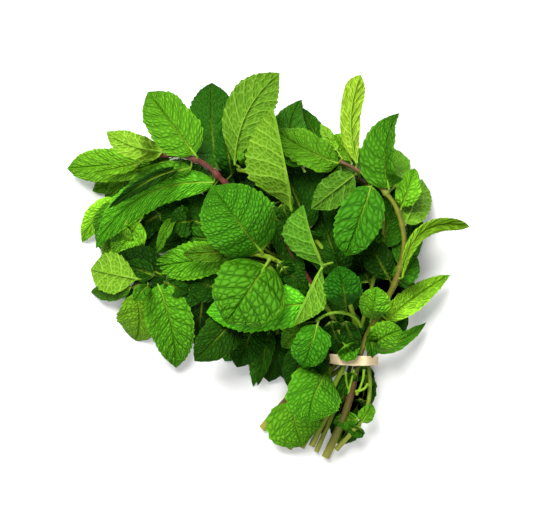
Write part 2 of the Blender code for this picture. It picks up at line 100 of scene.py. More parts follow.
# Each leaf, from the lowest in the pile to the highest: name, shape, stem it grows on, stalk
# end (x, y), tip (x, y, z), width, rise of the midrib, sideways sweep of the midrib, roll,
# fold along the midrib, droop of the margins, +1 when its upper side faces up, and its look:
# tone (darker or lighter, partly the leaf's own colour and partly painted shade and light for
# its place in the pile), hue (0.2 cool to 0.5 yellow), quilt (how puffed the blade is between
# its veins) and pale (how light the veins show).
LEAVES = [
    ("leaf_7a", "ovate", 7, (-14, -33), (-28, -60, 0.6), 28, 3, 0, 0, 5, 20, 1, (-0.2, 0.17, 0.8, 0.1)),
    ("leaf_7b", "lance", 7, (-3, -35), (-10, -76, 0.6), 14, 4, 0, 0, 25, 0, 1, (-0.05, 0.2, 0.8, 0.2)),
    ("leaf_7c", "ovate", 7, (12, -39), (13, -73, 1), 23, 3, 0, 0, 10, 15, 1, (-2.4, 0.2, 0.8, 0.2)),
    ("leaf_5c", "ovate", 5, (-38, -10), (-46, -50, 1), 26, 5, 0, 0, 10, 15, 1, (-2.45, 0.2, 0.8, 0.1)),
    ("leaf_8a", "ovate", 8, (-54, 26), (-97, 19, 0.6), 29, 1, 0, 0, 10, 15, 1, (-1.9, 0.18, 0.8, 0.1)),
    ("leaf_8b", "ovate", 8, (-81, 28), (-99, 4, 8), 22, 3, 0, 0, 10, 15, 1, (0.9, 0.3, 0.8, 0.3)),
    ("leaf_8c", "lance", 8, (-93, 46), (-118.5, 15, 1), 15, 4, -3, 0, 10, 20, 1, (1.1, 0.36, 0.8, 0.1)),
    ("leaf_5g", "ovate", 5, (-86, -13), (-113, -16, 0.6), 14, 2, 0, 0, 5, 15, 1, (-0.45, 0.28, 0.5, 0.1)),
    ("leaf_5f", "round", 5, (-89, -15), (-84.5, -47, 0.6), 28, 4, 3, 0, 8, 15, 1, (0.3, 0.38, 0.7, 0.15)),
    ("leaf_2a", "ovate", 2, (68, 3), (60, 24, 12), 19, 2, 0, 0, 10, 15, 1, (-1.4, 0.2, 0.8, 0.1)),
    ("leaf_1e", "ovate", 1, (84, -2), (94, 34, 8), 18, 3, 0, 0, 10, 15, 1, (-0.8, 0.2, 0.8, 0.1)),
    ("leaf_1f", "round", 1, (82, 24), (97, 55, 1), 22, 4, 0, 0, 5, 20, -1, (0.25, 0.36, 0.9, 0.4)),
    ("leaf_1h", "round", 1, (78, 50), (77.5, 75.5, 3), 22, -2, 0, 0, 8, 15, 1, (0.37, 0.3, 0.9, 0.3)),
    ("leaf_6a", "ovate", 6, (40, -10), (30, 42, 14), 28, 3, 0, 0, 15, 10, 1, (-1.7, 0.18, 0.8, 0.1)),
    ("leaf_6b", "ovate", 6, (26, 23), (5, 74, 1), 26, 3, 0, 0, 10, 15, 1, (-1.7, 0.18, 0.9, 0.2)),
    ("leaf_2b", "lance", 2, (20, 63), (21, 106, 3), 25, 4, 7.5, 0, 10, 15, 1, (-0.4, 0.22, 0.9, 0.1)),
    ("leaf_3c", "round", 3, (-31, 59), (-36, 117, 10), 31, -1, 2, 0, 8, 15, 1, (-1.25, 0.17, 0.9, 0.5)),
    ("leaf_3a", "ovate", 3, (-23, 57), (-28, 87, 26), 17, 4, 0, 0, 5, 15, 1, (-1.38, 0.15, 0.8, 0.1)),
    ("leaf_6d", "spoon", 6, (-21, 63), (6.5, 119, 38), 28, 5, 7, 0, -5, -10, -1, (-0.15, 0.36, 0.9, 0.45)),
    ("leaf_1m", "ovate", 1, (43, 64), (3, 86, 26), 22, 4, 2, 8, 12, 15, 1, (-0.1, 0.3, 1, 0.15)),
    ("leaf_1g", "ovate", 1, (82, 36), (90, 61, 37), 15, 3, 0, 0, 10, 20, 1, (0.75, 0.31, 0.9, 0.1)),
    ("leaf_1c", "ovate", 1, (74, -10), (57, 24, 26), 18, 3, 0, 0, 10, 15, 1, (-1.9, 0.2, 0.8, 0.1)),
    ("leaf_9b", "lance", 9, (74, -33), (114, -5, 14), 16, 3, 2, 0, 14, 5, 1, (0.9, 0.38, 0.9, 0.5)),
    ("leaf_9a", "lance", 9, (66, -54), (99, -35, 10), 10, 3, -2, 0, 20, 0, 1, (-0.05, 0.24, 0.6, 0.1)),
    ("leaf_3g", "round", 3, (-74, 65), (-127.5, 62, 8), 22, 2, 0, 0, 5, 20, 1, (0.47, 0.33, 0.9, 0.1)),
    ("leaf_3b", "ovate", 3, (-34, 52), (-109, 11, 10), 22, 5, -14, 0, 8, 25, 1, (0.48, 0.23, 1, 0.05)),
    ("leaf_3e", "lance", 3, (-48, 61), (-96, 36, 28), 15, 3, -5, -38, -38, 5, 1, (-0.1, 0.26, 0.9, 0.05)),
    ("leaf_5e", "spoon", 5, (-78, -10), (-112, -1.5, 10), 26, 4, 0, 0, -5, -10, -1, (0.24, 0.4, 0.8, 0.5)),
    ("leaf_5d", "ovate", 5, (-68, -5), (-58.5, -64, 6), 29, 6, 3, 0, 8, 20, 1, (0.28, 0.26, 1.1, 0.05)),
    ("leaf_3d", "round", 3, (-45, 65), (-75, 108.5, 36), 30, 4, 0, 0, 6, 20, 1, (0.15, 0.29, 1.1, 0.1)),
    ("leaf_3f", "ovate", 3, (-64, 67.5), (-98, 82, 42), 16, 3, 3, 0, -5, -10, -1, (0.45, 0.42, 0.8, 0.4)),
    ("leaf_1k", "ovate", 1, (53, 57), (26, 36, 38), 19, 2, 0, 0, -5, -10, -1, (-0.45, 0.31, 1.1, 0.6)),
    ("leaf_1d", "blunt", 1, (82, -7), (125, 25, 16), 9, 6, 15, 0, 20, 10, 1, (0.45, 0.42, 0.9, 0.2)),
    ("leaf_1b", "round", 1, (70, -36), (66, -12, 42), 19, 3, 0, 0, 5, 15, 1, (0.67, 0.3, 0.7, 0.1)),
    ("leaf_1a", "round", 1, (60, -49), (80.5, -38, 36), 18, 5, 2, 0, 8, 25, 1, (0.25, 0.3, 0.7, 0.1)),
    ("leaf_1l", "blunt", 1, (53, 60), (56, 118, 46), 14, 4, 5, 10, -14, -10, -1, (0.5, 0.49, 0.8, 0.45)),
    ("leaf_1i", "lance", 1, (73, 45), (79.5, 94.5, 46), 33, 3, 5, -44, 42, 18, 1, (-0.25, 0.24, 0.9, 0.05)),
    ("leaf_6f", "spoon", 6, (33, 1), (21, 38, 38), 30, 3, 2, 74, -80, 5, -1, (-0.1, 0.28, 0.9, 0.3)),
    ("leaf_4a", "round", 4, (30, -22), (-39, -28, 34), 30, 6, 0, 0, 5, 20, 1, (0.93, 0.21, 1.1, 0.05)),
    ("leaf_4d", "round", 4, (-18, 4), (-73, 0, 30), 22, 0, 0, 0, 8, 20, 1, (0.4, 0.27, 1.1, 0.05)),
    ("leaf_6c", "willow", 6, (11, 30), (2, 97, 46), 44, 4, 0, 76, -82, 5, -1, (0.1, 0.39, 0.7, 0.4)),
    ("leaf_3i", "round", 3, (13, -81), (21.5, -113, 9), 36, 3, -2, 0, 5, 20, 1, (0.27, 0.3, 0.35, 0.05)),
    ("leaf_3h", "round", 3, (36, -60), (25, -95.5, 20), 34, 5, -4, 0, 6, 20, 1, (0.08, 0.24, 0.45, 0.05)),
    ("leaf_10a", "round", 10, (30, -33), (21, -62, 28), 23, 4, 0, 0, 6, 20, 1, (-0.05, 0.19, 0.6, 0.05)),
    ("leaf_6e", "wedge", 6, (33, 0), (15, -36, 46), 25, 2, 0, 76, -82, 5, -1, (0.15, 0.35, 0.5, 0.4)),
    ("leaf_10c", "round", 10, (46, -31), (42, 1, 40), 22, 4, 0, 0, 6, 15, 1, (-0.85, 0.14, 0.6, 0.05)),
    ("leaf_1j", "round", 1, (62, 50), (46.5, 6.5, 52), 28, 5, 0, 0, 8, 20, 1, (-0.29, 0.2, 1.2, 0.05)),
    ("leaf_4b", "heart", 4, (-4, 9), (-35, 49, 54), 44, 5, 0, 0, 4, 22, 1, (-0.13, 0.21, 0.9, 0.05)),
    ("leaf_4c", "heart", 4, (-2, 1), (-26, -34, 50), 45, 5, 0, 0, 4, 24, 1, (-0.13, 0.25, 1.4, 0)),
]
# Place in the pile of each stem: leaves listed before it lie under the stem.
STEM_PLACE = {1: 32, 2: 13, 3: 29, 4: 38, 5: 0, 6: 18, 7: 0, 8: 5, 9: 12, 10: 33}


def extra(name, stem, base, tip, width, on, tone_and_shade, hue=0.18, shape="ovate", rise=2, sweep=0, roll=0,
          fold=8, droop=15, face=1, quilt=0.8, pale=0.1):
    """Columns of LEAVES for one more leaf, then `on`, the leaf of the pile that it lies on."""
    return (name, shape, stem, base, tip, width, rise, sweep, roll, fold, droop, face,
            (tone_and_shade, hue, quilt, pale), on)


# Leaves too small or too deep in the pile to be solids of their own.
SMALL = [
    extra("small_1", 3, (-80, 64), (-109, 58, 44), 8, "leaf_3g", 0.5, 0.35, shape="lance", fold=20,
          droop=5, quilt=0.6),
    extra("small_2", 8, (-58, 32), (-69, 9, 30), 9, "leaf_3b", -0.2, 0.27, shape="lance", roll=20, fold=30,
          droop=5, quilt=0.6, pale=0.2),
    extra("small_3", 8, (-43, 40), (-61, 27, 34), 19, "leaf_3b", -1.5, 0.2, fold=10, droop=10),
    extra("small_5", 4, (-26, 9), (-53, 8, 46), 11, "leaf_4d", -0.4, 0.32, fold=12, droop=10, quilt=0.9,
          pale=0.3),
    extra("small_6", 4, (-28, 16), (-57, 20, 38), 14, "leaf_3b", -0.9, 0.2, fold=10, droop=10, quilt=0.9),
    extra("small_7", 10, (24, -34), (8, -50, 18), 17, "leaf_5d", -0.2, 0.3, fold=10, droop=10, quilt=0.6),
    extra("small_8", 6, (-15, 50), (-17, 79, 30), 10, "leaf_3a", 0, 0.3, shape="lance", fold=15, droop=10,
          quilt=0.6, pale=0.2),
    extra("small_9", 2, (29, 36), (25, 68, 34), 9, "leaf_6b", 0, 0.3, shape="lance", fold=20, droop=5,
          quilt=0.6),
    extra("small_10", 1, (50, 63), (40, 82, 45), 11, "leaf_1m", 0.4, 0.36, shape="blunt", fold=10,
          droop=10, quilt=0.5),
    extra("small_11", 1, (42, 72), (32, 89, 42), 8, "leaf_1m", 0.45, 0.38, rise=1, fold=-8, droop=-10,
          face=-1, quilt=0.5, pale=0.2),
    extra("small_12", 1, (80, -16), (92, 6, 18), 15, "leaf_9b", -0.6, 0.2, fold=10, droop=10),
    extra("small_13", 4, (49, -45), (53, -57.5, 28), 15, "leaf_4d", 0.2, 0.24, shape="heart", droop=10,
          quilt=0.5, pale=0),
    extra("small_14", 6, (24, 8), (2, 32, 34), 17, "leaf_6a", -0.4, 0.28, fold=10, droop=5, quilt=0.9,
          pale=0.3),
    extra("small_15", 9, (57, -94), (40.5, -98, 14), 11, "leaf_9a", 0.15, 0.24, rise=1, fold=10, droop=10,
          quilt=0.5),
    extra("small_16", 9, (53, -96), (65, -86, 16), 10, "leaf_9a", 0.1, 0.3, rise=1, fold=10, droop=10,
          quilt=0.7, pale=0.2),
    extra("small_17", 9, (55, -97), (53, -107, 6), 11, "leaf_9a", -0.5, 0.2, fold=10, droop=10, quilt=0.5),
    extra("small_18", 9, (50, -103), (44, -113, 3), 9, "leaf_7c", 0.1, 0.3, rise=1, fold=10, droop=10,
          quilt=0.5),
    extra("small_19", 5, (-75, -11), (-82, -21, 26), 9, "leaf_5d", -0.4, 0.22, rise=1, fold=10, droop=10,
          quilt=0.5),
    extra("small_20", 1, (41, -51), (44, -30, 24), 14, "leaf_5d", -0.9, 0.2, fold=10, droop=10, quilt=0.6),
    extra("small_23", 7, (20, -60), (38, -72, 4), 14, "leaf_7c", -0.9, 0.2, fold=10, droop=10),
    # broad leaves of the lower layers, seen only through the gaps, most of them darkened as painted shade
    extra("under_1", 3, (-74, 63), (-112, 48, 14), 17, "leaf_8c", 0.2, 0.33),
    extra("under_2", 8, (-40, 26), (-72, 42, 8), 22, "leaf_8c", -1.6),
    extra("under_3", 8, (-28, 20), (-66, 14, 8), 28, "leaf_8c", -1.6),
    extra("under_4", 5, (-62, -6), (-96, 8, 4), 24, "leaf_8c", -2.2, pale=0),
    extra("under_5", 8, (-92, 42), (-106, 10, 2), 22, "leaf_8c", -0.3, 0.25),
    extra("under_6", 5, (-36, -14), (-70, -14, 5), 22, "leaf_5c", -1.6),
    extra("under_7", 5, (-60, -8), (-92, -24, 5), 20, "leaf_5c", -0.6, 0.22),
    extra("under_8", 7, (-18, -30), (-46, -58, 1), 24, "leaf_5c", -1.5, 0.22, quilt=0.7),
    extra("under_9", 7, (6, -36), (0, -73, 1), 25, "leaf_7c", -1.6),
    extra("under_10", 5, (16, -34), (-14, -6, 16), 34, "leaf_6a", -1.8, shape="round", rise=3),
    extra("under_11", 6, (30, 14), (2, 2, 16), 24, "leaf_6a", -1.6),
    extra("under_12", 8, (-4, 12), (8, 44, 12), 28, "leaf_6a", -1.8),
    extra("under_13", 3, (-14, 42), (-24, 70, 20), 22, "leaf_3c", -1.5),
    extra("under_14", 6, (-2, 48), (-14, 70, 14), 20, "leaf_3c", -1.5),
    extra("under_15", 3, (-20, 46), (-44, 56, 20), 20, "leaf_3c", -1.5),
    extra("under_16", 2, (46, 56), (22, 62, 14), 24, "leaf_6b", -1.6, shape="round"),
    extra("under_17", 2, (56, 54), (46, 78, 20), 20, "leaf_6b", -0.3, 0.3),
    extra("under_18", 2, (68, 36), (44, 36, 20), 30, "leaf_6b", -1.6),
    extra("under_19", 2, (70, 12), (80, 46, 16), 24, "leaf_6b", -0.7, 0.2, shape="round"),
    extra("under_20", 2, (64, -12), (54, 14, 10), 26, "leaf_2a", -1.6),
    extra("under_21", 9, (66, -40), (60, -8, 8), 26, "leaf_2a", -1.6),
    extra("under_22", 9, (70, -38), (78, -4, 6), 20, "leaf_2a", -1.5),
    extra("under_23", 1, (82, -10), (92, -4, 8), 16, "leaf_2a", -0.7, 0.2),
    extra("under_24", 7, (46, -52), (46, -22, 8), 26, "leaf_2a", -1.6),
    extra("under_25", 9, (64, -50), (58, -24, 8), 20, "leaf_2a", -1.6),
    extra("under_26", 7, (34, -48), (22, -14, 6), 24, "leaf_2a", -1.7),
    extra("under_27", 9, (70, -42), (88, -30, 6), 18, "leaf_2a", -0.6, 0.22),
    extra("under_28", 7, (24, -46), (8, -66, 2), 20, "leaf_7c", -1.6),
    extra("under_29", 9, (60, -66), (58, -92, 4), 17, "leaf_7c", -0.6, 0.2, shape="lance", droop=10,
          quilt=0.7),
    extra("under_31", 8, (10, -2), (-24, 8, 18), 26, "leaf_6a", -1.9, shape="round"),
    extra("under_32", 8, (-34, 28), (-58, 46, 14), 20, "leaf_6a", -1.8),
    extra("under_33", 5, (-26, -17), (-50, -6, 14), 22, "leaf_6a", -1.8),
    extra("under_34", 2, (62, 30), (38, 38, 16), 24, "leaf_6b", -1.8),
    extra("under_35", 6, (42, 0), (22, -12, 16), 24, "leaf_2a", -1.9),
    extra("under_36", 2, (66, -6), (80, 16, 12), 22, "leaf_2a", -1.7),
    extra("under_37", 9, (48, -82), (40, -107, 3), 15, "leaf_7c", -1.6, 0.2, shape="lance", droop=10,
          quilt=0.7),
    extra("under_38", 7, (-8, -33), (-20, -63, 1), 24, "leaf_5c", -1.5),
    extra("under_39", 9, (74, -36), (86, -9, 8), 20, "leaf_2a", -1.5, 0.2),
    extra("under_40", 7, (16, -36), (28, -60, 3), 22, "leaf_7c", -1.7),
    extra("under_41", 3, (-34, 50), (-68, 66, 30), 17, "leaf_3c", -0.5, 0.22),
    extra("under_42", 8, (-90, 26), (-104, 3, 3), 19, "leaf_8c", 0.4, 0.32, pale=0.3),
    extra("under_43", 1, (60, -62), (61, -86, 6), 14, "leaf_7c", -0.9, 0.2, shape="lance", droop=10,
          quilt=0.7),
    extra("under_44", 9, (53, -97), (46, -112, 3), 10, "leaf_7c", -0.6, 0.22, shape="lance", droop=10,
          quilt=0.7),
    # leaves laid across the bare stems in the middle, darkened as painted shade
    extra("cross_1", 4, (3, 4), (25, -14, 46), 13, "leaf_4d", -1.6, fold=10, droop=10),
    extra("cross_2", 4, (5, 0), (22, -22, 44), 14, "leaf_4d", -1.7, fold=10, droop=10),
    extra("cross_3", 6, (23, 26), (41, -6, 44), 16, "leaf_1a", -1.6, rise=8, droop=8),
    extra("cross_4", 6, (8, 40), (16, 12, 38), 16, "leaf_1a", -1.5, 0.22, fold=10, droop=10, pale=0.2),
    extra("cross_5", 4, (38, -34), (45, -54, 27), 17, "leaf_4d", -1.8, fold=10, droop=10),
    extra("cross_9", 4, (47, -34), (55, -53, 26), 12, "leaf_4d", -1.7, fold=10, droop=10),
    extra("cross_10", 3, (25, -46), (12, -75, 16), 20, "leaf_9a", -1.5),
    extra("cross_11", 3, (35, -50), (24, -72, 20), 14, "leaf_6f", -1.4, 0.2),
    # this narrow dark blade on leaf_3b stands for the shadow that leaf_3e casts there: painted shadow
    extra("cross_12", 3, (-55, 61), (-97, 35, 40), 8, "leaf_3e", -1.85, shape="lance", sweep=-2, fold=5,
          pale=0),
    extra("cross_13", 4, (-6, 34), (14, 56, 40), 16, "leaf_6b", -1.5),
    extra("cross_14", 8, (-68, 33), (-92, 19, 22), 18, "leaf_8b", -2.1, pale=0),
    extra("cross_15", 5, (-62, -4), (-86, 0, 22), 17, "leaf_8b", -2.3, pale=0),
    extra("cross_16", 1, (44, -62), (42, -84, 24), 9, "leaf_6f", -1.2, 0.2, shape="lance", pale=0),
    extra("cross_6", 1, (60, -40), (62, -54, 28), 8, "leaf_4d", -0.9, 0.22, fold=10, droop=10),
    extra("cross_7", 5, (-70, -8), (-90, 2, 26), 14, "leaf_9a", -1.7, fold=10, droop=10),
    extra("cross_8", 5, (-66, -6), (-50, -16, 28), 13, "leaf_9a", -1.6, fold=10, droop=10),
    # more of both, over what the others leave open
    extra("under_30", 2, (52, -66), (46, -98, 2), 18, "leaf_7c", -1.5, 0.2, shape="lance", droop=10,
          quilt=0.7),
    extra("under_45", 8, (-4, 10), (16, 20, 18), 16, "leaf_6a", -1.8),
    extra("under_46", 3, (-60, 66), (-82, 60, 34), 9, "leaf_3b", 0, 0.3, shape="lance"),
    extra("under_47", 3, (-82, 62), (-104, 43, 22), 12, "leaf_8c", 0.2, 0.33),
    extra("under_48", 6, (4, 46), (-16, 50, 26), 14, "leaf_6a", -1.6),
    extra("under_49", 2, (50, 58), (64, 48, 24), 14, "leaf_6b", -1.2),
    extra("under_50", 2, (60, 52), (86, 40, 20), 16, "leaf_6b", -1.2),
    extra("under_51", 7, (32, -44), (44, -12, 8), 18, "leaf_2a", -1.8),
    extra("under_52", 9, (66, -42), (70, 2, 10), 18, "leaf_2a", -1.8),
    extra("cross_17", 6, (1, 38), (22, -12, 35), 16, "leaf_1a", -1.5, 0.2),
    extra("under_53", 2, (38, 66), (21, 101, 6), 14, "leaf_6b", -0.6, 0.2),
    extra("under_54", 7, (0, -38), (-7, -75, 1), 12, "leaf_7c", -0.9, 0.2, shape="lance"),
    extra("under_55", 9, (58, -84), (51, -98, 6), 10, "leaf_7c", -1.2, 0.2),
    extra("under_56", 7, (36, -88), (31, -107, 1), 13, "leaf_7c", -1.8, 0.2, shape="lance"),
]
SMALL_GAP = 0.9        # least height between the middles of a small leaf and its neighbours
# Leaves of the pile of which little shows, so that coarse blades do.
HIDDEN = ("leaf_7a", "leaf_7c", "leaf_5c", "leaf_8a", "leaf_2a", "leaf_1e", "leaf_6a", "leaf_6b",
          "leaf_1c", "leaf_5g", "leaf_1h")


# ---- shared shapes -----------------------------------------------------------------------
def smooth(edge, value):
    """Smooth 0 to 1 ramp that is complete at `edge`."""
    x = np.clip(value / edge, 0.0, 1.0)
    return x * x * (3.0 - 2.0 * x)


def ramp(low, high, value):
    """Smooth step from 0 at low to 1 at high."""
    return smooth(1.0, (value - low) / (high - low))


def unit(v):
    return v / np.maximum(np.linalg.norm(v, axis=-1, keepdims=True), 1e-9)


def blade_outline(shape, s):
    """Half width of a blade as a share of its greatest half width, s from 0 base to 1 tip."""
    widest, blunt, full = SHAPES[shape]
    s = np.clip(s, 0.0, 1.0)
    low = np.clip((widest - s) / widest, 0.0, 1.0)
    high = np.clip((s - widest) / (1.0 - widest), 0.0, 1.0)
    return np.where(s < widest, (1.0 - low ** 2.4) ** full, 1.0 - high ** blunt)


def stem_points(stem, steps):
    """Centre line of a stem through its listed points, `steps` pieces for each span."""
    _, _, raw = STEMS[stem]
    pts = np.array(raw, dtype=float)
    ext = np.vstack([2 * pts[0] - pts[1], pts, 2 * pts[-1] - pts[-2]])
    out = []
    for i in range(1, len(ext) - 2):
        p0, p1, p2, p3 = ext[i - 1:i + 3]
        for k in range(steps):
            t = k / steps
            out.append(0.5 * (2 * p1 + (p2 - p0) * t + (2 * p0 - 5 * p1 + 4 * p2 - p3) * t ** 2
                              + (3 * p1 - p0 - 3 * p2 + p3) * t ** 3))
    out.append(pts[-1])
    return np.array(out)


def stem_radii(stem, count):
    """Radius along a stem, falling from the cut end to the tip."""
    thick, thin, _ = STEMS[stem]
    t = np.linspace(0.0, 1.0, count)
    return thick + (thin - thick) * t ** 0.8


class Leaf:
    """One blade with its stalk, hung on a stem."""

    def __init__(self, row, order):
        (self.name, self.shape, number, base, tip, width, self.rise, self.sweep,
         roll, fold, droop, self.face, self.look) = row
        self.order = order
        self.stem = "stem_%d" % number
        self.half = width / 2.0
        self.roll, self.fold, self.droop = (math.radians(a) for a in (roll, fold, droop))
        self.lift = 0.0
        self.tip_lift = 0.0
        line = stem_points(self.stem, 8)
        radii = stem_radii(self.stem, len(line))
        near = int(np.argmin(np.hypot(line[:, 0] - base[0], line[:, 1] - base[1])))
        a, b = line[max(near - 1, 0)], line[min(near + 1, len(line) - 1)]
        along = (b - a) / np.linalg.norm(b - a)
        tilt = STALK_UP if lies_over(self, self.stem) else STALK_DOWN
        away = np.array([tip[0] - base[0], tip[1] - base[1], 0.0])
        away = away / np.linalg.norm(away) + np.array([0.0, 0.0, tilt])
        away -= along * away.dot(along)
        away /= np.linalg.norm(away)
        self.core = line[near]
        self.rooted = np.hypot(*(self.core[:2] - np.array(base))) < ROOT_REACH
        self.root = self.core + away * (radii[near] + STALK_GAP + BLADE / 2 + 0.3)
        self.end = np.array([float(v) for v in tip])
        self.base = np.array([base[0], base[1], self.root[2] + math.copysign(STALK_RISE, tilt)])
        stalk = self.base - self.root
        if stalk[:2].dot(self.end[:2] - self.base[:2]) < 0.0 or np.hypot(*stalk[:2]) < STALK_LEAST:
            ahead = self.end - self.root
            self.base[:2] = self.root[:2] + ahead[:2] * STALK_LEAST / np.linalg.norm(ahead)

    def surface(self, t, v, least=TIP_HALF):
        """Point of the blade middle; t is -1 at the stem, 0 where the blade starts and 1 at
        the tip, v runs across from -1 to 1, and least is the half width left at the tip."""
        t, v = np.asarray(t, float), np.asarray(v, float)
        line = self.end - self.base
        up = np.array([0.0, 0.0, 1.0])
        flat = np.cross(up, line)
        flat /= np.linalg.norm(flat)
        b = np.clip(t, 0.0, 1.0)
        arch = 4.0 * b * (1.0 - b)
        mid = self.base + b[..., None] * line
        mid = mid + np.clip(-t, 0.0, 1.0)[..., None] * (self.root - self.base)
        mid = mid + (self.sweep * arch)[..., None] * flat
        lift = self.rise * arch + self.lift * smooth(EASE, b) + self.tip_lift * b
        mid = mid + lift[..., None] * up
        eased = np.clip(b / EASE, 0.0, 1.0)
        slope = 4.0 * (1.0 - 2.0 * b)
        climb = self.rise * slope + self.lift * 6.0 * eased * (1.0 - eased) / EASE + self.tip_lift
        run = line + (self.sweep * slope)[..., None] * flat + climb[..., None] * up
        run /= np.linalg.norm(run, axis=-1, keepdims=True)
        side = np.cross(up, run)
        side /= np.linalg.norm(side, axis=-1, keepdims=True)
        out = np.cross(run, side)
        turn = self.roll * smooth(TURN, b)
        c, d = np.cos(turn)[..., None], np.sin(turn)[..., None]
        side, out = side * c + out * d, out * c - side * d
        half = self.half * blade_outline(self.shape, b)
        half = np.maximum(half, np.where(b > 0.5, least, STALK_HALF))
        fold = self.fold * smooth(TURN, b)
        bend = self.droop if abs(self.droop) > 1e-3 else 1e-3
        q = np.abs(v)
        wide = half * (np.sin(fold) - np.sin(fold - bend * q)) / bend
        high = half * (np.cos(fold - bend * q) - np.cos(fold)) / bend
        return mid + (np.sign(v) * wide)[..., None] * side + high[..., None] * out


# ---- laying the pile ---------------------------------------------------------------------
CELL = 2.0             # side of a plan cell
FAR = 1e3              # height that stands for an empty cell
ROUNDS = 70            # rounds of easing, of which the last ones only lift
LAST_ROUNDS = 10
SMALL_ROUNDS = 30
START = -0.2           # station from which a leaf is kept off its neighbours
KIN_START = 0.05       # the same for two leaves whose roots are within KIN_REACH
KIN_REACH = 5.0
OWN_START = 0.07       # the same for a leaf and its own stem
MOST_DOWN, MOST_UP = -2.0, 4.0    # how far one touch may move a leaf
MOST_LIFT = 20.0       # how far a blade may be moved in all, and its tip besides
MOST_TIP_LIFT = 25.0
S_GRID, V_GRID = np.meshgrid(np.linspace(START, 1.0, 40), np.linspace(-1.0, 1.0, 23), indexing="ij")


class Patch:
    """Lowest and highest point, and the station, over each plan cell that something covers."""

    def __init__(self, points, thick, station):
        i = np.floor(points[:, 0] / CELL).astype(int)
        j = np.floor(points[:, 1] / CELL).astype(int)
        self.box = (i.min(), i.max() + 1, j.min(), j.max() + 1)
        size = (self.box[1] - self.box[0], self.box[3] - self.box[2])
        where = (i - self.box[0]) * size[1] + (j - self.box[2])
        self.low = np.full(size[0] * size[1], FAR)
        self.high = np.full(size[0] * size[1], -FAR)
        self.place = np.zeros(size[0] * size[1])
        np.minimum.at(self.low, where, points[:, 2] - thick)
        np.maximum.at(self.high, where, points[:, 2] + thick)
        self.place[where] = station
        self.low, self.high, self.place = (a.reshape(size) for a in (self.low, self.high, self.place))

    def shared(self, other):
        """Window both patches reach into, as one slice pair for each, or None."""
        a, b = self.box, other.box
        i0, i1, j0, j1 = max(a[0], b[0]), min(a[1], b[1]), max(a[2], b[2]), min(a[3], b[3])
        if i0 >= i1 or j0 >= j1:
            return None
        return ((slice(i0 - a[0], i1 - a[0]), slice(j0 - a[2], j1 - a[2])),
                (slice(i0 - b[0], i1 - b[0]), slice(j0 - b[2], j1 - b[2])))


def leaf_patch(leaf):
    pts = leaf.surface(S_GRID, V_GRID).reshape(-1, 3)
    return Patch(pts, 0.0, S_GRID.ravel())


def stem_patches():
    """A patch for each stem, by name."""
    patches = {}
    for stem in STEMS:
        line = stem_points(stem, 14)
        radii = stem_radii(stem, len(line))
        around = [line + np.array([dx, dy, 0]) * radii[:, None] * 0.9
                  for dx in (-1, 0, 1) for dy in (-1, 0, 1)]
        patches[stem] = Patch(np.vstack(around), np.tile(radii, 9), np.ones(9 * len(line)))
    return patches


def lies_over(leaf, stem):
    return leaf.order >= STEM_PLACE[int(stem.split("_")[1])]


def clash(upper, lower, gap, own):
    """Worst shortfall of height between two patches beyond station `own`, or None."""
    both = upper.shared(lower)
    if both is None:
        return None
    a, b = both
    need = lower.high[b] - upper.low[a] + gap
    need = np.where((upper.low[a] < FAR) & (lower.low[b] < FAR), need, -FAR)
    need = np.where(np.minimum(upper.place[a], lower.place[b]) < own, -FAR, need)
    worst = int(np.argmax(need))
    if need.flat[worst] <= 0.02:
        return None
    return need.flat[worst], upper.place[a].flat[worst], lower.place[b].flat[worst]


def raise_leaf(leaf, amount, station):
    """Lift the blade by `amount` at one station, keeping the stalk on its stem."""
    amount = min(max(amount, MOST_DOWN), MOST_UP)
    station = max(station, 0.15)
    g = float(smooth(EASE, station))
    total = g * g + station * station
    leaf.lift = min(max(leaf.lift + amount * g / total, -MOST_LIFT), MOST_LIFT)
    tip_lift = leaf.tip_lift + amount * station / total
    leaf.tip_lift = min(max(tip_lift, -MOST_TIP_LIFT), MOST_TIP_LIFT)


def ease_off(leaf, patch, other, above, gap, own, share):
    """Move a leaf up or down by a share of what it lacks over or under `other`; True if moved."""
    found = clash(patch, other, gap, own) if above else clash(other, patch, gap, own)
    if found:
        raise_leaf(leaf, share * found[0] if above else -share * found[0], found[1 if above else 2])
    return bool(found)


def off_ground(leaf, patch):
    """Lift a leaf that comes too near the ground; returns its patch."""
    short = np.where(patch.low < FAR, FLOOR - patch.low, -1.0)
    worst = int(np.argmax(short))
    if short.flat[worst] > 0.01:
        raise_leaf(leaf, short.flat[worst], patch.place.flat[worst])
        patch = leaf_patch(leaf)
    return patch


def lay_leaves(leaves):
    """Settle the pile: blades that touch are eased apart and none goes into the ground."""
    stems = stem_patches()
    patches = [leaf_patch(leaf) for leaf in leaves]
    for turn in range(ROUNDS):
        last = turn >= ROUNDS - LAST_ROUNDS
        for i, leaf in enumerate(leaves):
            moved = [ease_off(leaf, patches[i], stem, lies_over(leaf, name), CLEAR * 0.6,
                              OWN_START if name == leaf.stem else 0.0, 0.7)
                     for name, stem in stems.items()]
            if any(moved):
                patches[i] = leaf_patch(leaf)
            for k in range(i):
                kin = np.linalg.norm(leaf.root - leaves[k].root) < KIN_REACH
                found = clash(patches[i], patches[k], CLEAR, KIN_START if kin else START)
                if not found:
                    continue
                amount, here, there = found
                raise_leaf(leaf, amount * (1.0 if last else 0.6), here)
                patches[i] = leaf_patch(leaf)
                if not last:
                    raise_leaf(leaves[k], -0.4 * amount, there)
                    patches[k] = leaf_patch(leaves[k])
            patches[i] = off_ground(leaf, patches[i])


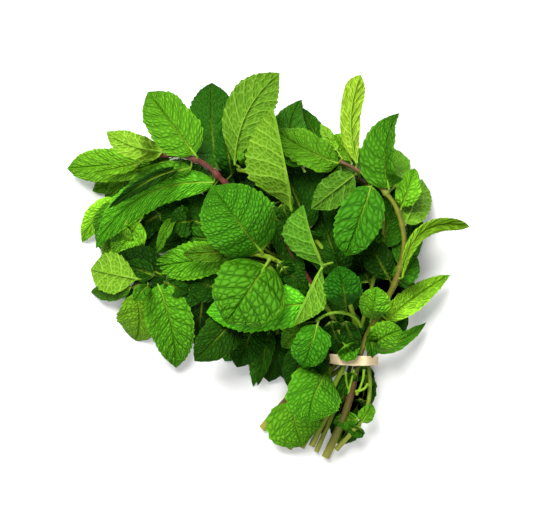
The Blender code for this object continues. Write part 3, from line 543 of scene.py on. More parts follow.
def lay_small(small, leaves):
    """Ease the small leaves into the air between their neighbours, which stay put."""
    stems = stem_patches()
    fixed = [(leaf.order, leaf_patch(leaf)) for leaf in leaves]
    patches = [leaf_patch(leaf) for leaf in small]
    for _ in range(SMALL_ROUNDS):
        for i, leaf in enumerate(small):
            own = 0.1 if leaf.rooted else 0.0
            others = [(s.order, patch) for s, patch in zip(small, patches) if s is not leaf]
            for order, other in fixed + others:
                if ease_off(leaf, patches[i], other, leaf.order > order, SMALL_GAP, own, 0.6):
                    patches[i] = leaf_patch(leaf)
            for name, stem in stems.items():
                if ease_off(leaf, patches[i], stem, lies_over(leaf, name), SMALL_GAP / 2, 0.1, 0.5):
                    patches[i] = leaf_patch(leaf)
            patches[i] = off_ground(leaf, patches[i])


# ==== materials ===========================================================================
class Tree:
    """Short calls for building one material's nodes."""

    def __init__(self, name):
        self.mat = bpy.data.materials.new(name)
        self.mat.use_nodes = True
        self.nodes = self.mat.node_tree.nodes
        self.links = self.mat.node_tree.links
        self.shader = self.nodes["Principled BSDF"]

    def wire(self, socket, value):
        if isinstance(value, bpy.types.NodeSocket):
            self.links.new(value, socket)
        else:
            socket.default_value = value

    def mark(self, name):
        """A value that each vertex of the mesh carries."""
        node = self.nodes.new("ShaderNodeAttribute")
        node.attribute_name = name
        return node.outputs["Fac"]

    def math(self, operation, a, b=0.0):
        node = self.nodes.new("ShaderNodeMath")
        node.operation = operation
        for socket, value in zip(node.inputs, (a, b)):
            self.wire(socket, value)
        return node.outputs[0]

    def times(self, a, b):
        return self.math("MULTIPLY", a, b)

    def combine(self, *parts):
        """Vector of two or three values."""
        node = self.nodes.new("ShaderNodeCombineXYZ")
        for socket, value in zip(node.inputs, parts):
            self.links.new(value, socket)
        return node.outputs[0]

    def mix(self, share, a, b, blend="MIX"):
        node = self.nodes.new("ShaderNodeMix")
        node.data_type = "RGBA"
        node.blend_type = blend
        self.wire(node.inputs["Factor"], share)
        for socket, value in ((node.inputs[6], a), (node.inputs[7], b)):
            self.wire(socket, (*value, 1.0) if isinstance(value, tuple) else value)
        return node.outputs[2]

    def span(self, value, low, high, out_low, out_high):
        """Map value from low..high to out_low..out_high, clamped."""
        node = self.nodes.new("ShaderNodeMapRange")
        for socket, number in zip(node.inputs, (value, low, high, out_low, out_high)):
            self.wire(socket, number)
        return node.outputs[0]

    def tint(self, colour, value, low, high, most, other):
        """Mix in another colour, from none where value is low up to `most` where it is high."""
        return self.mix(self.span(value, low, high, 0.0, most), colour, other)

    def noise(self, scale, detail, stretch=(1.0, 1.0, 1.0)):
        """Noise over the object's own coordinates, multiplied by stretch along each axis."""
        where = self.nodes.new("ShaderNodeTexCoord")
        place = self.nodes.new("ShaderNodeMapping")
        place.inputs["Scale"].default_value = stretch
        self.links.new(where.outputs["Object"], place.inputs["Vector"])
        node = self.nodes.new("ShaderNodeTexNoise")
        node.inputs["Scale"].default_value = scale
        node.inputs["Detail"].default_value = detail
        self.links.new(place.outputs[0], node.inputs["Vector"])
        return node.outputs["Fac"]

    def bump(self, height, strength, distance):
        node = self.nodes.new("ShaderNodeBump")
        node.inputs["Strength"].default_value = strength
        node.inputs["Distance"].default_value = distance
        self.links.new(height, node.inputs["Height"])
        return node.outputs["Normal"]

    def done(self, colour, roughness, normal, specular, **fixed):
        self.wire(self.shader.inputs["Base Color"], colour)
        self.wire(self.shader.inputs["Roughness"], roughness)
        self.wire(self.shader.inputs["Normal"], normal)
        self.shader.inputs["Specular IOR Level"].default_value = specular
        for name, value in fixed.items():
            self.shader.inputs[name.replace("_", " ")].default_value = value
        return self.mat


def toned_and_shaded(tree, colour):
    """Leaf colour with the hue mark's redness, made darker or lighter by the tone mark, which is partly
    painted shade and light.
    """
    gain = tree.math("POWER", 2.3, tree.mark("tone_and_shade"))
    red = tree.times(gain, tree.times(tree.mark("hue"), 4.0))
    return tree.mix(1.0, colour, tree.combine(red, gain, gain), "MULTIPLY")


def veins(tree):
    """Swelling of the cells between the smallest veins, and the lines of all veins."""
    cells = tree.nodes.new("ShaderNodeTexVoronoi")
    cells.voronoi_dimensions = "2D"
    cells.feature = "DISTANCE_TO_EDGE"
    cells.inputs["Scale"].default_value = 1.0
    cells.inputs["Randomness"].default_value = 0.9
    tree.links.new(tree.combine(tree.mark("across"), tree.mark("outward")), cells.inputs["Vector"])
    wall = cells.outputs["Distance"]
    calm = tree.mark("calm")
    side = tree.span(tree.math("PINGPONG", tree.mark("lane"), 0.5), 0.015, 0.075, 1.0, 0.0)
    net = tree.span(wall, 0.02, 0.13, 0.72, 0.0)
    puff = tree.times(tree.span(wall, 0.0, 0.34, 0.0, 1.0), calm)
    puff = tree.times(puff, tree.math("SUBTRACT", 1.0, tree.times(side, 0.7)))
    return puff, tree.times(tree.math("MAXIMUM", side, net), calm)


def leaf_upper():
    """Upper side: green cells, darker in their seams and lighter on their swellings as painted shade and
    highlight, a lighter margin.
    """
    tree = Tree("leaf_upper")
    belly, rib, edge, pale = (tree.mark(m) for m in ("belly", "rib", "edge", "pale"))
    puff, line = veins(tree)
    patches = tree.noise(55.0, 3.0)
    speck = tree.noise(1100.0, 2.0)
    # darker down in the vein seams and lighter up on the swellings: painted shade and light
    colour = tree.mix(belly, (0.026, 0.130, 0.0010), (0.054, 0.215, 0.0045))
    colour = tree.tint(colour, patches, 0.38, 0.68, 0.5, (0.064, 0.245, 0.0050))
    colour = tree.tint(colour, speck, 0.45, 0.75, 0.35, (0.028, 0.135, 0.0015))
    # the tops of the cells are paler: painted highlight
    colour = tree.mix(tree.times(puff, 0.48), colour, (0.092, 0.305, 0.016))
    # the seams of the side veins and of the small cells are darkened: painted shade in the grooves
    dark = tree.times(line, tree.math("SUBTRACT", 0.72, pale))
    colour = tree.mix(tree.math("MAXIMUM", dark, 0.0), colour, (0.010, 0.062, 0.0004))
    light = tree.times(line, pale)
    colour = tree.mix(light, colour, (0.200, 0.560, 0.030))
    colour = tree.mix(tree.times(edge, 0.6), colour, (0.095, 0.300, 0.008))
    colour = toned_and_shaded(tree, colour)
    colour = tree.mix(tree.times(rib, 0.8), colour, (0.26, 0.44, 0.03))
    height = tree.math("ADD", puff, tree.times(speck, 0.45))
    normal = tree.bump(height, 1.0, 0.00075)
    rough = tree.span(tree.math("ADD", speck, patches), 0.7, 1.3, 0.40, 0.58)
    return tree.done(colour, rough, normal, 0.045)


def leaf_under():
    """Under side: paler and duller, with a raised net of light veins and painted shade in the hollows
    between them.
    """
    tree = Tree("leaf_under")
    belly, rib = tree.mark("belly"), tree.mark("rib")
    puff, line = veins(tree)
    patches = tree.noise(60.0, 3.0)
    speck = tree.noise(900.0, 2.0)
    # darker towards the middle of each lane, where the underside is hollow: painted shade
    colour = tree.mix(belly, (0.058, 0.215, 0.008), (0.044, 0.175, 0.005))
    colour = tree.tint(colour, patches, 0.35, 0.7, 0.5, (0.066, 0.235, 0.010))
    # darker again in the hollow of each small cell: painted shade
    colour = tree.mix(tree.times(puff, 0.45), colour, (0.034, 0.140, 0.003))
    colour = tree.tint(colour, speck, 0.45, 0.75, 0.3, (0.085, 0.280, 0.018))
    colour = tree.mix(tree.times(line, 0.75), colour, (0.125, 0.360, 0.034))
    colour = toned_and_shaded(tree, colour)
    colour = tree.mix(tree.times(rib, 0.5), colour, (0.24, 0.42, 0.06))
    height = tree.math("SUBTRACT", tree.times(speck, 0.3), puff)
    normal = tree.bump(height, 0.8, 0.0004)
    return tree.done(colour, tree.span(patches, 0.3, 0.7, 0.50, 0.66), normal, 0.045)


def leaf_stalk():
    """Stalk and midrib: yellow green, browner at the stem, and dimmed with the dark leaves as painted shade.
    """
    tree = Tree("leaf_stalk")
    streak = tree.noise(500.0, 3.0, (1.0, 1.0, 0.3))
    colour = tree.tint((0.12, 0.29, 0.008), streak, 0.35, 0.7, 1.0, (0.22, 0.40, 0.020))
    colour = tree.tint(colour, tree.mark("along"), -0.2, -1.2, 0.5, (0.16, 0.18, 0.03))
    # painted shade: the stalks of darkened leaves are dimmed with their blades
    shade = tree.span(tree.mark("tone_and_shade"), -1.0, 0.0, 0.25, 1.0)
    colour = tree.mix(1.0, colour, tree.combine(shade, shade, shade), "MULTIPLY")
    normal = tree.bump(streak, 0.3, 0.0004)
    return tree.done(colour, tree.span(streak, 0.3, 0.7, 0.40, 0.55), normal, 0.2)


def stem_skin(name, skin, blush, light, worn):
    """Stem bark: fine fibres along the stem, blushed in patches and paler at the cut end."""
    tree = Tree(name)
    along, cut, face = tree.mark("along"), tree.mark("cut"), tree.mark("face")
    blotch = tree.noise(38.0, 3.0)
    fibre = tree.noise(700.0, 3.0)
    colour = tree.tint(skin, blotch, 0.38, 0.62, 1.0, blush)
    colour = tree.mix(tree.times(tree.span(fibre, 0.3, 0.7, 0.0, 1.0), worn), colour, light)
    colour = tree.mix(tree.times(face, worn), colour, light)
    colour = tree.mix(tree.mark("blush"), colour, (0.055, 0.012, 0.010))
    colour = tree.tint(colour, along, 0.20, 0.02, 0.8, (0.30, 0.30, 0.045))
    colour = tree.tint(colour, cut, 0.0, 0.35, 1.0, (0.55, 0.50, 0.20))
    colour = tree.tint(colour, cut, 0.62, 0.85, 1.0, (0.13, 0.15, 0.035))
    normal = tree.bump(fibre, 0.35, 0.0004)
    return tree.done(colour, tree.span(fibre, 0.3, 0.7, 0.38, 0.56), normal, 0.2)


def rubber():
    """Cream rubber: faint lengthwise streaks, paler worn edges and a few dull marks."""
    tree = Tree("cream_rubber")
    streak = tree.noise(60.0, 4.0, (0.35, 6.0, 1.0))
    marks = tree.noise(240.0, 3.0)
    colour = tree.tint((0.70, 0.53, 0.29), streak, 0.35, 0.65, 1.0, (0.80, 0.64, 0.42))
    colour = tree.tint(colour, marks, 0.55, 0.75, 0.45, (0.62, 0.46, 0.22))
    colour = tree.mix(tree.times(tree.mark("edge"), 0.6), colour, (0.90, 0.77, 0.55))
    normal = tree.bump(tree.math("ADD", streak, marks), 0.25, 0.0005)
    return tree.done(colour, tree.span(marks, 0.3, 0.7, 0.48, 0.62), normal, 0.35,
                     Subsurface_Weight=0.12, Subsurface_Scale=0.002)


LEAF_UPPER = leaf_upper()
LEAF_UNDER = leaf_under()
LEAF_STALK = leaf_stalk()
STEM_RED = stem_skin("stem_red", (0.105, 0.022, 0.018), (0.055, 0.008, 0.011), (0.16, 0.060, 0.035), 0.3)
STEM_OLIVE = stem_skin("stem_olive", (0.105, 0.120, 0.006), (0.090, 0.024, 0.012), (0.17, 0.20, 0.015), 0.5)
STEM_GREEN = stem_skin("stem_green", (0.115, 0.215, 0.006), (0.09, 0.12, 0.008), (0.20, 0.32, 0.015), 0.5)
RUBBER = rubber()


# ==== meshes ==============================================================================
def chance(a, b, seed):
    """Repeatable noise from 0 to 1 for whole numbers a and b."""
    value = np.sin(a * 127.1 + b * 311.7 + seed * 74.7) * 43758.5453
    return value - np.floor(value)


def grid_normals(points):
    """Unit normals of a grid of points; collapsed ends take their neighbours'."""
    n = np.cross(np.gradient(points, axis=0), np.gradient(points, axis=1))
    n[0], n[-1] = n[1], n[-2]
    return unit(n)


def grid_faces(rows, cols, start, flip):
    """Quads of a grid of rows by cols vertices that begins at index start."""
    i, j = np.meshgrid(np.arange(rows - 1), np.arange(cols - 1), indexing="ij")
    a = (start + i * cols + j).ravel()
    quads = np.stack([a, a + cols, a + cols + 1, a + 1], axis=1)
    return quads[:, ::-1] if flip else quads


def rim_faces(rows, cols, flip):
    """Quads that join the margins of two grids of rows by cols vertices, one after the other."""
    count = rows * cols
    loop = ([i * cols for i in range(rows)] + [(rows - 1) * cols + j for j in range(1, cols)]
            + [i * cols + cols - 1 for i in range(rows - 2, -1, -1)] + list(range(cols - 2, 0, -1)))
    quads = np.array([(a, b, b + count, a + count) for a, b in zip(loop, loop[1:] + loop[:1])])
    return quads[:, ::-1] if flip else quads


def tube(centres, radii, sides, square=0.0, turn=0.0):
    """Ring vertices of a tube along centres; square 0 is round and 1 has four flat sides."""
    run = unit(np.gradient(centres, axis=0))
    side = np.empty_like(run)
    side[0] = unit(np.cross(run[0], (0.02, 0.03, 1.0)))
    for k in range(1, len(run)):
        side[k] = unit(side[k - 1] - run[k] * side[k - 1].dot(run[k]))
    out = np.cross(run, side)
    a = np.linspace(0.0, 2.0 * math.pi, sides, endpoint=False) + turn
    flat = 1.0 / (np.abs(np.cos(a)) ** 4 + np.abs(np.sin(a)) ** 4) ** 0.25
    grow = 1.0 + square * (flat - 1.0)
    ring = (side[:, None] * (np.cos(a) * grow)[None, :, None]
            + out[:, None] * (np.sin(a) * grow)[None, :, None])
    return centres[:, None] + ring * np.asarray(radii)[:, None, None]


def tube_faces(rings, sides, start):
    """Quads round a tube whose rings begin at index start."""
    i, j = np.meshgrid(np.arange(rings - 1), np.arange(sides), indexing="ij")
    a = (start + i * sides + j).ravel()
    b = (start + i * sides + (j + 1) % sides).ravel()
    return np.stack([a, b, b + sides, a + sides], axis=1)


def end_caps(first, last, sides):
    """The two polygons that close a tube, from the index that each end ring begins at."""
    return [list(range(first, first + sides))[::-1], list(range(last, last + sides))]


def add_object(name, data):
    thing = bpy.data.objects.new(name, data)
    bpy.context.scene.collection.objects.link(thing)
    return thing


def new_piece(name, points, quads, polygons, marks, materials, kinds):
    """A smooth mesh piece from points in millimetres, with one value of each mark per vertex."""
    mesh = bpy.data.meshes.new(name)
    faces = [tuple(q) for q in quads.tolist()] + [tuple(p) for p in polygons]
    mesh.from_pydata(((points - MIDDLE) * MM).tolist(), [], faces)
    for mark, values in marks.items():
        layer = mesh.attributes.new(mark, "FLOAT", "POINT")
        layer.data.foreach_set("value", np.asarray(values, np.float32))
    for mat in materials:
        mesh.materials.append(mat)
    mesh.polygons.foreach_set("material_index", np.asarray(kinds, np.int32))
    mesh.polygons.foreach_set("use_smooth", np.ones(len(faces), bool))
    mesh.update()
    mesh.set_sharp_from_angle(angle=math.radians(65.0))
    piece = add_object(name, mesh)
    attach(piece, "root")
    return piece


# ==== fine leaves =========================================================================
# How far the lobes beside the stalk reach back past the blade's start, on either side.
LOBES = {"leaf_4c": (2.0, 6.5), "leaf_4b": (3.0, 1.5), "leaf_1j": (1.0, 1.0)}
DETAIL = {"high": (9, 20), "middle": (8, 14), "low": (6, 9)}   # rows to a side vein, columns to a side
VEIN_SPACE = 7.5       # usual distance between side veins along the midrib
VEIN_SWEEP = 0.95      # how far a side vein has swept towards the tip when it meets the margin
ROWS_PER_TOOTH = 4
TOOTH = 0.075          # depth of a tooth as a share of the half width
POINT = 0.08           # half width of a fine blade at its tip
THIN = 0.26            # thickness of a real blade between its veins
QUILT = 1.15           # height of the swellings between the veins of a blade whose quilt is 1
STRONG_QUILT = 1.15    # quilt above which the cells are large
CELL_SIZE = (2.3, 3.1)  # breadth of the cells the small veins enclose, plain and strongly quilted
GROUND = 0.05          # least height of any point over the table
STALK_SIDES = 8
BARE_RINGS = 10        # rings of the tube of stalk and midrib before the blade, and under it
BLADE_RINGS = 22
# Marks of a stalk's vertices, besides its place along the leaf.
STALK_MARKS = {"rib": 1.0, "calm": 0.0, "belly": 0.5, "lane": 0.25, "across": 0.5, "outward": 0.5,
               "edge": 0.0}


def blade_grid(leaf, seed, veins, detail):
    """Grid of a blade whose rows are swept along its side veins: share of the rows, place across,
    station and point."""
    to_vein, across = DETAIL[detail]
    rows = veins * to_vein + 1
    line = np.linspace(0.0, 1.0, across + 1) ** 1.15
    r, v = np.meshgrid(np.linspace(0.0, 1.0, rows), np.concatenate([-line[:0:-1], line]), indexing="ij")
    q = np.abs(v)
    t = 1.0 - (1.0 - r) ** (1.0 + VEIN_SWEEP * q)
    step = np.arange(rows)
    tooth = (step // ROWS_PER_TOOTH).astype(float)
    saw = (step % ROWS_PER_TOOTH) / (ROWS_PER_TOOTH - 1.0)
    bite = [saw * (0.35 + 1.1 * chance(tooth, side, seed)) for side in (1.0, 2.0)]
    rise = np.where(v < 0.0, bite[0][:, None], bite[1][:, None])
    ends = ramp(0.0, 0.12, r) * (1.0 - 0.7 * ramp(0.85, 1.0, r))
    uneven = 0.05 * np.sin(5.0 * t + seed * 2.3 + 2.0 * (v < 0.0)) + 0.03 * np.sin(11.0 * t + seed)
    v = v * (1.0 + (TOOTH * (rise - 0.45) * ramp(0.8, 1.0, q) + uneven * q) * ends)
    points = leaf.surface(t, v, POINT)
    if leaf.name in LOBES:
        reach = np.where(v < 0.0, *LOBES[leaf.name]) * q ** 1.5 * (1.0 - t) ** 4
        points = points + reach[..., None] * unit(leaf.base - leaf.surface(0.3, 0.0))
    return r, v, t, points


class Blade:
    """Both sides of a fine blade, with the marks that its materials read."""

    def __init__(self, leaf, seed, detail):
        _, _, quilt, pale = leaf.look
        length = np.linalg.norm(leaf.end - leaf.base)
        veins = int(min(max(round(length / VEIN_SPACE), 4), 9))
        spacing = length / veins
        r, v, t, plain = blade_grid(leaf, seed, veins, detail)
        q = np.abs(v)
        side = np.where(v < 0.0, 0.5, 0.0)
        from_mid = q * (leaf.half * blade_outline(leaf.shape, t))
        # A lane runs out between two side veins; cells lie in it across and outward.
        lane = r * veins + side + 0.10 * np.sin(q * 5.0 + seed + 4.0 * side)
        size = CELL_SIZE[quilt > STRONG_QUILT]
        grain = max(round(spacing / size), 1)
        outward = q * leaf.half / (1.35 * size) + 10.0 * side + 0.37 * seed
        gap = np.abs(lane - np.round(lane)) * spacing
        belly = 1.0 - (1.0 - 2.0 * gap / spacing) ** 2
        lump = np.sin(2.1 * outward + 1.3 * np.sin(9.0 * lane) + seed)
        lump = 0.5 + 0.25 * lump * (1.0 + np.sin(6.3 * lane * grain))
        calm = ramp(0.0, 0.9, from_mid) * ramp(0.0, 0.10, t) * ramp(1.02, 0.9, t)
        swell = 0.72 * belly + 0.28 * lump
        swell *= calm * (1.0 - 0.4 * ramp(0.85, 1.0, q))
        vein = np.exp(-(gap / 0.48) ** 2) * ramp(1.0, 0.8, q) * ramp(0.0, 0.05, r)
        mid = np.exp(-(from_mid / 0.5) ** 2) * ramp(1.0, 0.85, t)
        edge = q ** 2.5 * ramp(0.0, 0.2, t) * ramp(1.0, 0.85, t)
        wave = 0.45 * np.sin(t * 17.0 + seed * 1.7 + 2.0 * side)
        wave = (wave + 0.35 * np.sin(t * 8.0 + seed + 5.0 * side)) * edge
        height = QUILT * quilt * (swell - 0.35) - 0.3 * mid + wave
        self.up = grid_normals(plain) * leaf.face
        middle = plain + self.up * height[..., None]
        thin = THIN * (1.0 - 0.4 * ramp(0.9, 1.0, q))
        rib = 0.28 * mid + 0.20 * vein
        self.top = middle + self.up * (thin / 2.0)[..., None]
        self.low = middle - self.up * (thin / 2.0 + rib)[..., None]
        self.marks = {"rib": np.clip(ramp(0.70, 0.12, t) * mid + 0.5 * pale * mid, 0, 1),
                      "calm": calm, "belly": np.clip(swell, 0, 1), "lane": lane,
                      "across": lane * grain, "outward": outward, "edge": ramp(0.88, 1.0, q),
                      "along": t}


def stalk_tube(leaf, up):
    """Stations, rings and count of rings of the stalk and midrib, one tube from the stem to near
    the tip, sunk under the blade whose grid of normals is up."""
    rows, cols = up.shape[:2]
    s = np.concatenate([np.linspace(-1.0, 0.0, BARE_RINGS - 1), np.linspace(0.04, 0.86, BLADE_RINGS)])
    line = leaf.surface(s, np.zeros(len(s)), POINT)
    if leaf.rooted:
        line = np.vstack([leaf.core, line])
    else:
        # a leaf whose stem lies deep in the pile keeps a short bent stub of its stalk
        stub = np.linspace(1.0, 0.0, BARE_RINGS)
        heading = unit(leaf.base - leaf.surface(0.12, 0.0))
        heading = heading * min(5.0, 0.25 * np.linalg.norm(leaf.end - leaf.base))
        sag = (stub ** 2)[:, None] * (0, 0, 1.5)
        line = np.vstack([leaf.base + stub[:, None] * heading - sag, line[BARE_RINGS - 1:]])
    s = np.concatenate([[-1.3], s])
    thick = np.interp(s, (-1.3, -1, -0.8, 0, 0.1, 0.5, 0.86), (1.5, 1.35, 1.0, 0.95, 0.75, 0.38, 0.12))
    thick = (0.33 + 0.03 * leaf.half) * thick
    along = [up[min(int(x * rows), rows - 1), cols // 2] for x in s[BARE_RINGS:]]
    ups = unit(np.vstack([[0, 0, leaf.face]] * BARE_RINGS + along))
    under = s > 0.1
    sink = np.interp(s, (-0.2, 0.02, 0.2, 0.86), (0.0, 0.30, 0.75, 0.62))
    sink = sink + 0.35 * QUILT * leaf.look[2] * under + 0.25 * thick * under
    line = line - ups * sink[:, None]
    line[:, 2] = np.maximum(line[:, 2], thick + GROUND)
    return s, tube(line, thick, STALK_SIDES).reshape(-1, 3), len(line)


def fine_leaf(leaf, seed, detail):
    """One leaf as a thin closed shell with its midrib and stalk."""
    tone_and_shade, hue, _, pale = leaf.look
    blade = Blade(leaf, seed, detail)
    rows, cols = blade.top.shape[:2]
    count = rows * cols
    start = 2 * count
    upper = grid_faces(rows, cols, 0, leaf.face < 0)
    lower = grid_faces(rows, cols, count, leaf.face > 0)
    rim = rim_faces(rows, cols, leaf.face > 0)
    stations, stalk, rings = stalk_tube(leaf, blade.up)
    skin = tube_faces(rings, STALK_SIDES, start)
    caps = end_caps(start, start + (rings - 1) * STALK_SIDES, STALK_SIDES)
    points = np.vstack([blade.top.reshape(-1, 3), blade.low.reshape(-1, 3), stalk])
    # on the table the upper side stays just over the lower
    points[:, 2] = np.maximum(points[:, 2], GROUND + 0.02 * (np.arange(len(points)) < count))
    quads = np.vstack([upper, lower, rim, skin])
    kinds = [0] * len(upper) + [1] * len(lower) + [0] * len(rim) + [2] * (len(skin) + len(caps))
    marks = {"pale": np.full(len(points), pale), "tone_and_shade": np.full(len(points), tone_and_shade),
             "hue": np.full(len(points), hue)}
    for mark, values in blade.marks.items():
        flat = values.ravel()
        ends = stations.repeat(STALK_SIDES) if mark == "along" else np.full(len(stalk), STALK_MARKS[mark])
        marks[mark] = np.concatenate([flat, flat, ends])
    return new_piece("fine_" + leaf.name, points,
                     quads, caps, marks, [LEAF_UPPER, LEAF_UNDER, LEAF_STALK], kinds)


# ==== stems, shoots and band ==============================================================
STEM_STEP = 1.5        # spacing of a stem's rings
STEM_SIDES = 16
STEM_SQUARE = 0.85     # how square a stem is
NODE_SWELL = 0.32      # how much a stem thickens where leaves grow
NODE_LONG = 1.8        # how far along the stem that swelling reaches
# Where stems turn red brown: distance from the cut end, how far it spreads, how strong.
BLUSH = {"stem_1": ((48.0, 16.0, 0.8), (210.0, 14.0, 0.8)), "stem_2": ((190.0, 40.0, 0.9),),
         "stem_5": ((185.0, 25.0, 0.8),)}
# Rings over the cut end: share of the radius, height over the cut in half radii, and cut mark.
CUT_RINGS = ((0.85, 0.10, 0.3), (0.70, 0.0, 0.4), (0.45, -0.15, 0.5), (0.30, -0.45, 0.8),
             (0.12, -0.9, 1.0))
# Thin bare stalks of side leaves near the band: radius, then the centre line.
SHOOTS = {
    "shoot_1": (0.75, [(48, -66, 20), (48.5, -72, 17), (50, -77, 15), (52, -79, 13)]),
    "shoot_2": (0.65, [(53, -64, 21), (52, -70, 19), (50.5, -76, 17), (50, -80, 15)]),
    "shoot_3": (0.75, [(59.5, -64, 20), (59, -70, 19.5), (57, -76, 18), (55, -80, 15)]),
    "shoot_4": (0.8, [(62, -73, 18), (60, -76, 18.5), (57, -77.5, 18), (54, -78, 15)]),
}
SHOOT_SIDES = 12
SHOOT_RINGS = 28


def fine_stem(stem, leaves, mat):
    """Square stem with swollen joints and a cut end with its pith."""
    number = int(stem.split("_")[1])
    coarse = stem_points(stem, 24)
    reach = np.concatenate([[0.0], np.cumsum(np.linalg.norm(np.diff(coarse, axis=0), axis=1))])
    count = int(reach[-1] / STEM_STEP)
    at = np.linspace(0.0, reach[-1], count)
    line = np.stack([np.interp(at, reach, coarse[:, k]) for k in range(3)], axis=1)
    radii = np.interp(np.linspace(0.0, 1.0, count), np.linspace(0.0, 1.0, len(coarse)),
                      stem_radii(stem, len(coarse)))
    for leaf in leaves:
        if leaf.stem == stem and leaf.rooted:
            near = at[int(np.argmin(np.linalg.norm(line - leaf.core, axis=1)))]
            swell = NODE_SWELL * np.exp(-((at - near) / NODE_LONG) ** 2)
            radii *= 1.0 + swell / (1.0 + 0.5 * (leaf.half < 8))
    radii *= 1.0 + 0.03 * np.sin(at * 0.9 + number)
    turn = 0.4 * number
    rings = tube(line, radii, STEM_SIDES, STEM_SQUARE, turn)
    points = rings.reshape(-1, 3)
    bark = len(points)
    faces = tube_faces(count, STEM_SIDES, 0)
    run = unit(line[0] - line[1])
    j = np.arange(STEM_SIDES)
    nxt = (j + 1) % STEM_SIDES
    a = 0
    for k, (share, out, _) in enumerate(CUT_RINGS):
        b = bark + k * STEM_SIDES
        faces = np.vstack([faces, np.stack([a + nxt, a + j, b + j, b + nxt], axis=1)])
        points = np.vstack([points, line[0] + (rings[0] - line[0]) * share + run * out * radii[0] * 0.5])
        a = b
    caps = end_caps(a, bark - STEM_SIDES, STEM_SIDES)
    blush = np.zeros(count)
    for place, spread, most in BLUSH.get(stem, ()):
        blush = np.maximum(blush, most * np.exp(-((at - place) / spread) ** 2))
    around = np.linspace(0, 2 * math.pi, STEM_SIDES, endpoint=False)
    face = np.tile(np.abs(np.cos(2.0 * (around + turn))) ** 3, count)
    cut = np.repeat([mark for _, _, mark in CUT_RINGS], STEM_SIDES)
    none = np.zeros(len(cut))
    marks = {"along": np.concatenate([np.repeat(at / 150.0, STEM_SIDES), none]),
             "blush": np.concatenate([np.repeat(blush, STEM_SIDES), none]),
             "cut": np.concatenate([np.zeros(bark), cut]),
             "face": np.concatenate([face, none])}
    piece = new_piece("fine_" + stem, points, faces, caps, marks, [mat],
                      [0] * (len(faces) + len(caps)))
    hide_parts(stem)


def fine_shoot(name, radius, raw):
    """Thin stalk along a centre line that is smoothed between its points."""
    pts = np.array(raw, float)
    s = np.linspace(0.0, 1.0, SHOOT_RINGS)
    line = np.stack([np.interp(s, np.linspace(0.0, 1.0, len(pts)), pts[:, k]) for k in range(3)], axis=1)
    for _ in range(12):
        line[1:-1] = 0.25 * line[:-2] + 0.5 * line[1:-1] + 0.25 * line[2:]
    rings = tube(line, radius * (1.0 + 0.25 * np.abs(2.0 * s - 1.0) ** 3), SHOOT_SIDES)
    faces = tube_faces(SHOOT_RINGS, SHOOT_SIDES, 0)
    caps = end_caps(0, (SHOOT_RINGS - 1) * SHOOT_SIDES, SHOOT_SIDES)
    points = rings.reshape(-1, 3)
    marks = {"along": np.full(len(points), -0.1)}
    new_piece(name, points, faces, caps, marks, [LEAF_STALK], [0] * (len(faces) + len(caps)))


def power(wave, exponent):
    """A sine or cosine bent towards a square wave, its sign kept."""
    return np.sign(wave) * np.abs(wave) ** exponent


def fine_band():
    """Flat strip with rounded edges that rides up and down over the stems it holds."""
    around, profile = 220, 16
    lean = math.radians(BAND_LEAN)
    # the loop: a rounded oblong, wavy on top, its strip a little uneven in width and course
    # and twisted at the left
    a = np.linspace(0.0, 2.0 * math.pi, around, endpoint=False)
    ca, sa = np.cos(a), np.sin(a)
    x = (BAND_RING[0] + BAND_THICK / 2) * power(ca, 0.8)
    z = (BAND_RING[1] + BAND_THICK / 2) * power(sa, 0.8)
    z += 0.45 * np.sin(x * 0.75 + 0.6) * (sa > 0) * np.abs(sa)
    wide = BAND_WIDE / 2.0 * (1.0 - 0.07 * np.cos(a) - 0.03 * np.sin(3.0 * a))
    twist = math.radians(16.0) * np.exp(-((x + 15.0) / 7.0) ** 2) * (sa > -0.2)
    shift = 0.55 * np.sin(a * 2.0 + 0.6)
    # the strip's section
    k = np.linspace(0.0, 2.0 * math.pi, profile, endpoint=False)
    across = power(np.cos(k), 0.45)
    deep = power(np.sin(k), 0.6) * BAND_THICK / 2.0
    rise = across[None] * np.sin(twist)[:, None] * wide[:, None]
    side = across[None] * np.cos(twist)[:, None] * wide[:, None] + shift[:, None]
    px = x[:, None] + (deep[None] + rise) * ca[:, None]
    pz = z[:, None] + (deep[None] + rise) * sa[:, None]
    points = np.stack([BAND_CENTRE[0] + px * math.cos(lean) + side * math.sin(lean),
                       BAND_CENTRE[1] - px * math.sin(lean) + side * math.cos(lean),
                       BAND_HEIGHT + pz], axis=2).reshape(-1, 3)
    points[:, 2] = np.maximum(points[:, 2], GROUND)
    i, j = np.meshgrid(np.arange(around), np.arange(profile), indexing="ij")
    i2, j2 = (i + 1) % around, (j + 1) % profile
    faces = np.stack([i * profile + j, i * profile + j2, i2 * profile + j2, i2 * profile + j],
                     axis=2).reshape(-1, 4)
    marks = {"edge": np.tile(np.abs(across) ** 6, around)}
    piece = new_piece("cream_band", points, faces, [], marks, [RUBBER], [0] * len(faces))
    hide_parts("rubber_band")


# ==== the bunch ===========================================================================
BOX_SLACK = 0.002      # metres a fine blade may pass the box of its CAD leaf


def check_place(leaf):
    """A laid blade has to lie where the part has it."""
    low, high = (np.array(corner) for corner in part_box(leaf.name))
    points = leaf.surface(*np.meshgrid((0.2, 0.5, 0.8), (-1.0, 0.0, 1.0))).reshape(-1, 3)
    points = (points - MIDDLE) * MM
    assert (points > low - BOX_SLACK).all() and (points < high + BOX_SLACK).all(), leaf.name


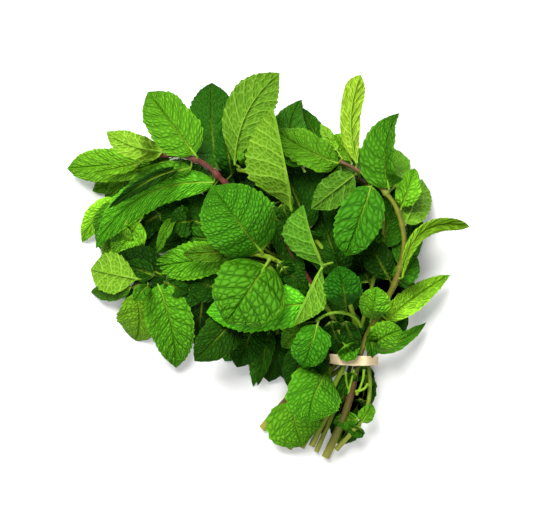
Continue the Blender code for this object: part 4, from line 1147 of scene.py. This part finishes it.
def build_bunch():
    leaves = [Leaf(row, place) for place, row in enumerate(LEAVES)]
    lay_leaves(leaves)
    place = {leaf.name: leaf.order for leaf in leaves}
    small = [Leaf(row, place[on] + 0.5) for *row, on in SMALL]
    lay_small(small, leaves)
    for leaf in leaves:
        check_place(leaf)
        piece = fine_leaf(leaf, leaf.order + 1, "low" if leaf.name in HIDDEN else "high")
        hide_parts(leaf.name)
    for number, leaf in enumerate(small):
        fine_leaf(leaf, 60 + number, "middle" if leaf.name.startswith("small") else "low")
    for stem in STEMS:
        skin = {"stem_1": STEM_OLIVE, "stem_3": STEM_RED, "stem_10": LEAF_STALK}.get(stem, STEM_GREEN)
        fine_stem(stem, leaves, skin)
    for name, (radius, raw) in SHOOTS.items():
        fine_shoot(name, radius, raw)
    fine_band()


# ==== stage, light and camera =============================================================
CAMERA_HEIGHT = 1.35
VIEW_WIDTH = 0.3305    # what the picture's width takes in at VIEW_LEVEL, a little above the table
VIEW_LEVEL = 0.030
SENSOR = 36.0
FLOOR_REACH = 3.0


def build_stage():
    mesh = bpy.data.meshes.new("floor")
    corners = [(x * FLOOR_REACH, y * FLOOR_REACH, 0) for x, y in ((-1, -1), (1, -1), (1, 1), (-1, 1))]
    mesh.from_pydata(corners, [], [(0, 1, 2, 3)])
    tree = Tree("white_table")
    grain = tree.noise(3.0, 2.0)
    colour = tree.mix(grain, (0.76, 0.76, 0.755), (0.79, 0.79, 0.785))
    mesh.materials.append(tree.done(colour, 0.7, tree.bump(grain, 0.02, 0.001), 0.1,
                                    Emission_Color=(1.0, 1.0, 1.0, 1.0), Emission_Strength=0.14))
    add_object("floor", mesh)


def area_light(name, place, size, watts, colour):
    """A round soft light that points at the origin."""
    data = bpy.data.lights.new(name, "AREA")
    data.shape = "DISK"
    data.size = size
    data.energy = watts
    data.color = colour
    light = add_object(name, data)
    light.location = place
    light.rotation_euler = (-Vector(place)).to_track_quat("-Z", "Y").to_euler()


def build_light():
    scene = bpy.context.scene
    world = bpy.data.worlds.new("studio")
    world.use_nodes = True
    background = world.node_tree.nodes["Background"]
    background.inputs["Color"].default_value = (1.0, 1.0, 1.0, 1.0)
    background.inputs["Strength"].default_value = 0.24
    scene.world = world
    area_light("key", (-0.30, 0.80, 1.25), 0.95, 46.0, (1.0, 0.99, 0.96))
    area_light("fill", (-0.2, -0.9, 1.2), 1.0, 9.0, (0.97, 0.98, 1.0))
    scene.view_settings.view_transform = "Standard"
    scene.view_settings.exposure = 0.0


def build_camera():
    data = bpy.data.cameras.new("camera")
    data.sensor_width = SENSOR
    data.lens = SENSOR * (CAMERA_HEIGHT - VIEW_LEVEL) / VIEW_WIDTH
    data.clip_end = 20.0
    camera = add_object("camera", data)
    camera.location = (-0.0004, 0.0065, CAMERA_HEIGHT)
    bpy.context.scene.camera = camera


build_bunch()
build_stage()
build_light()
build_camera()
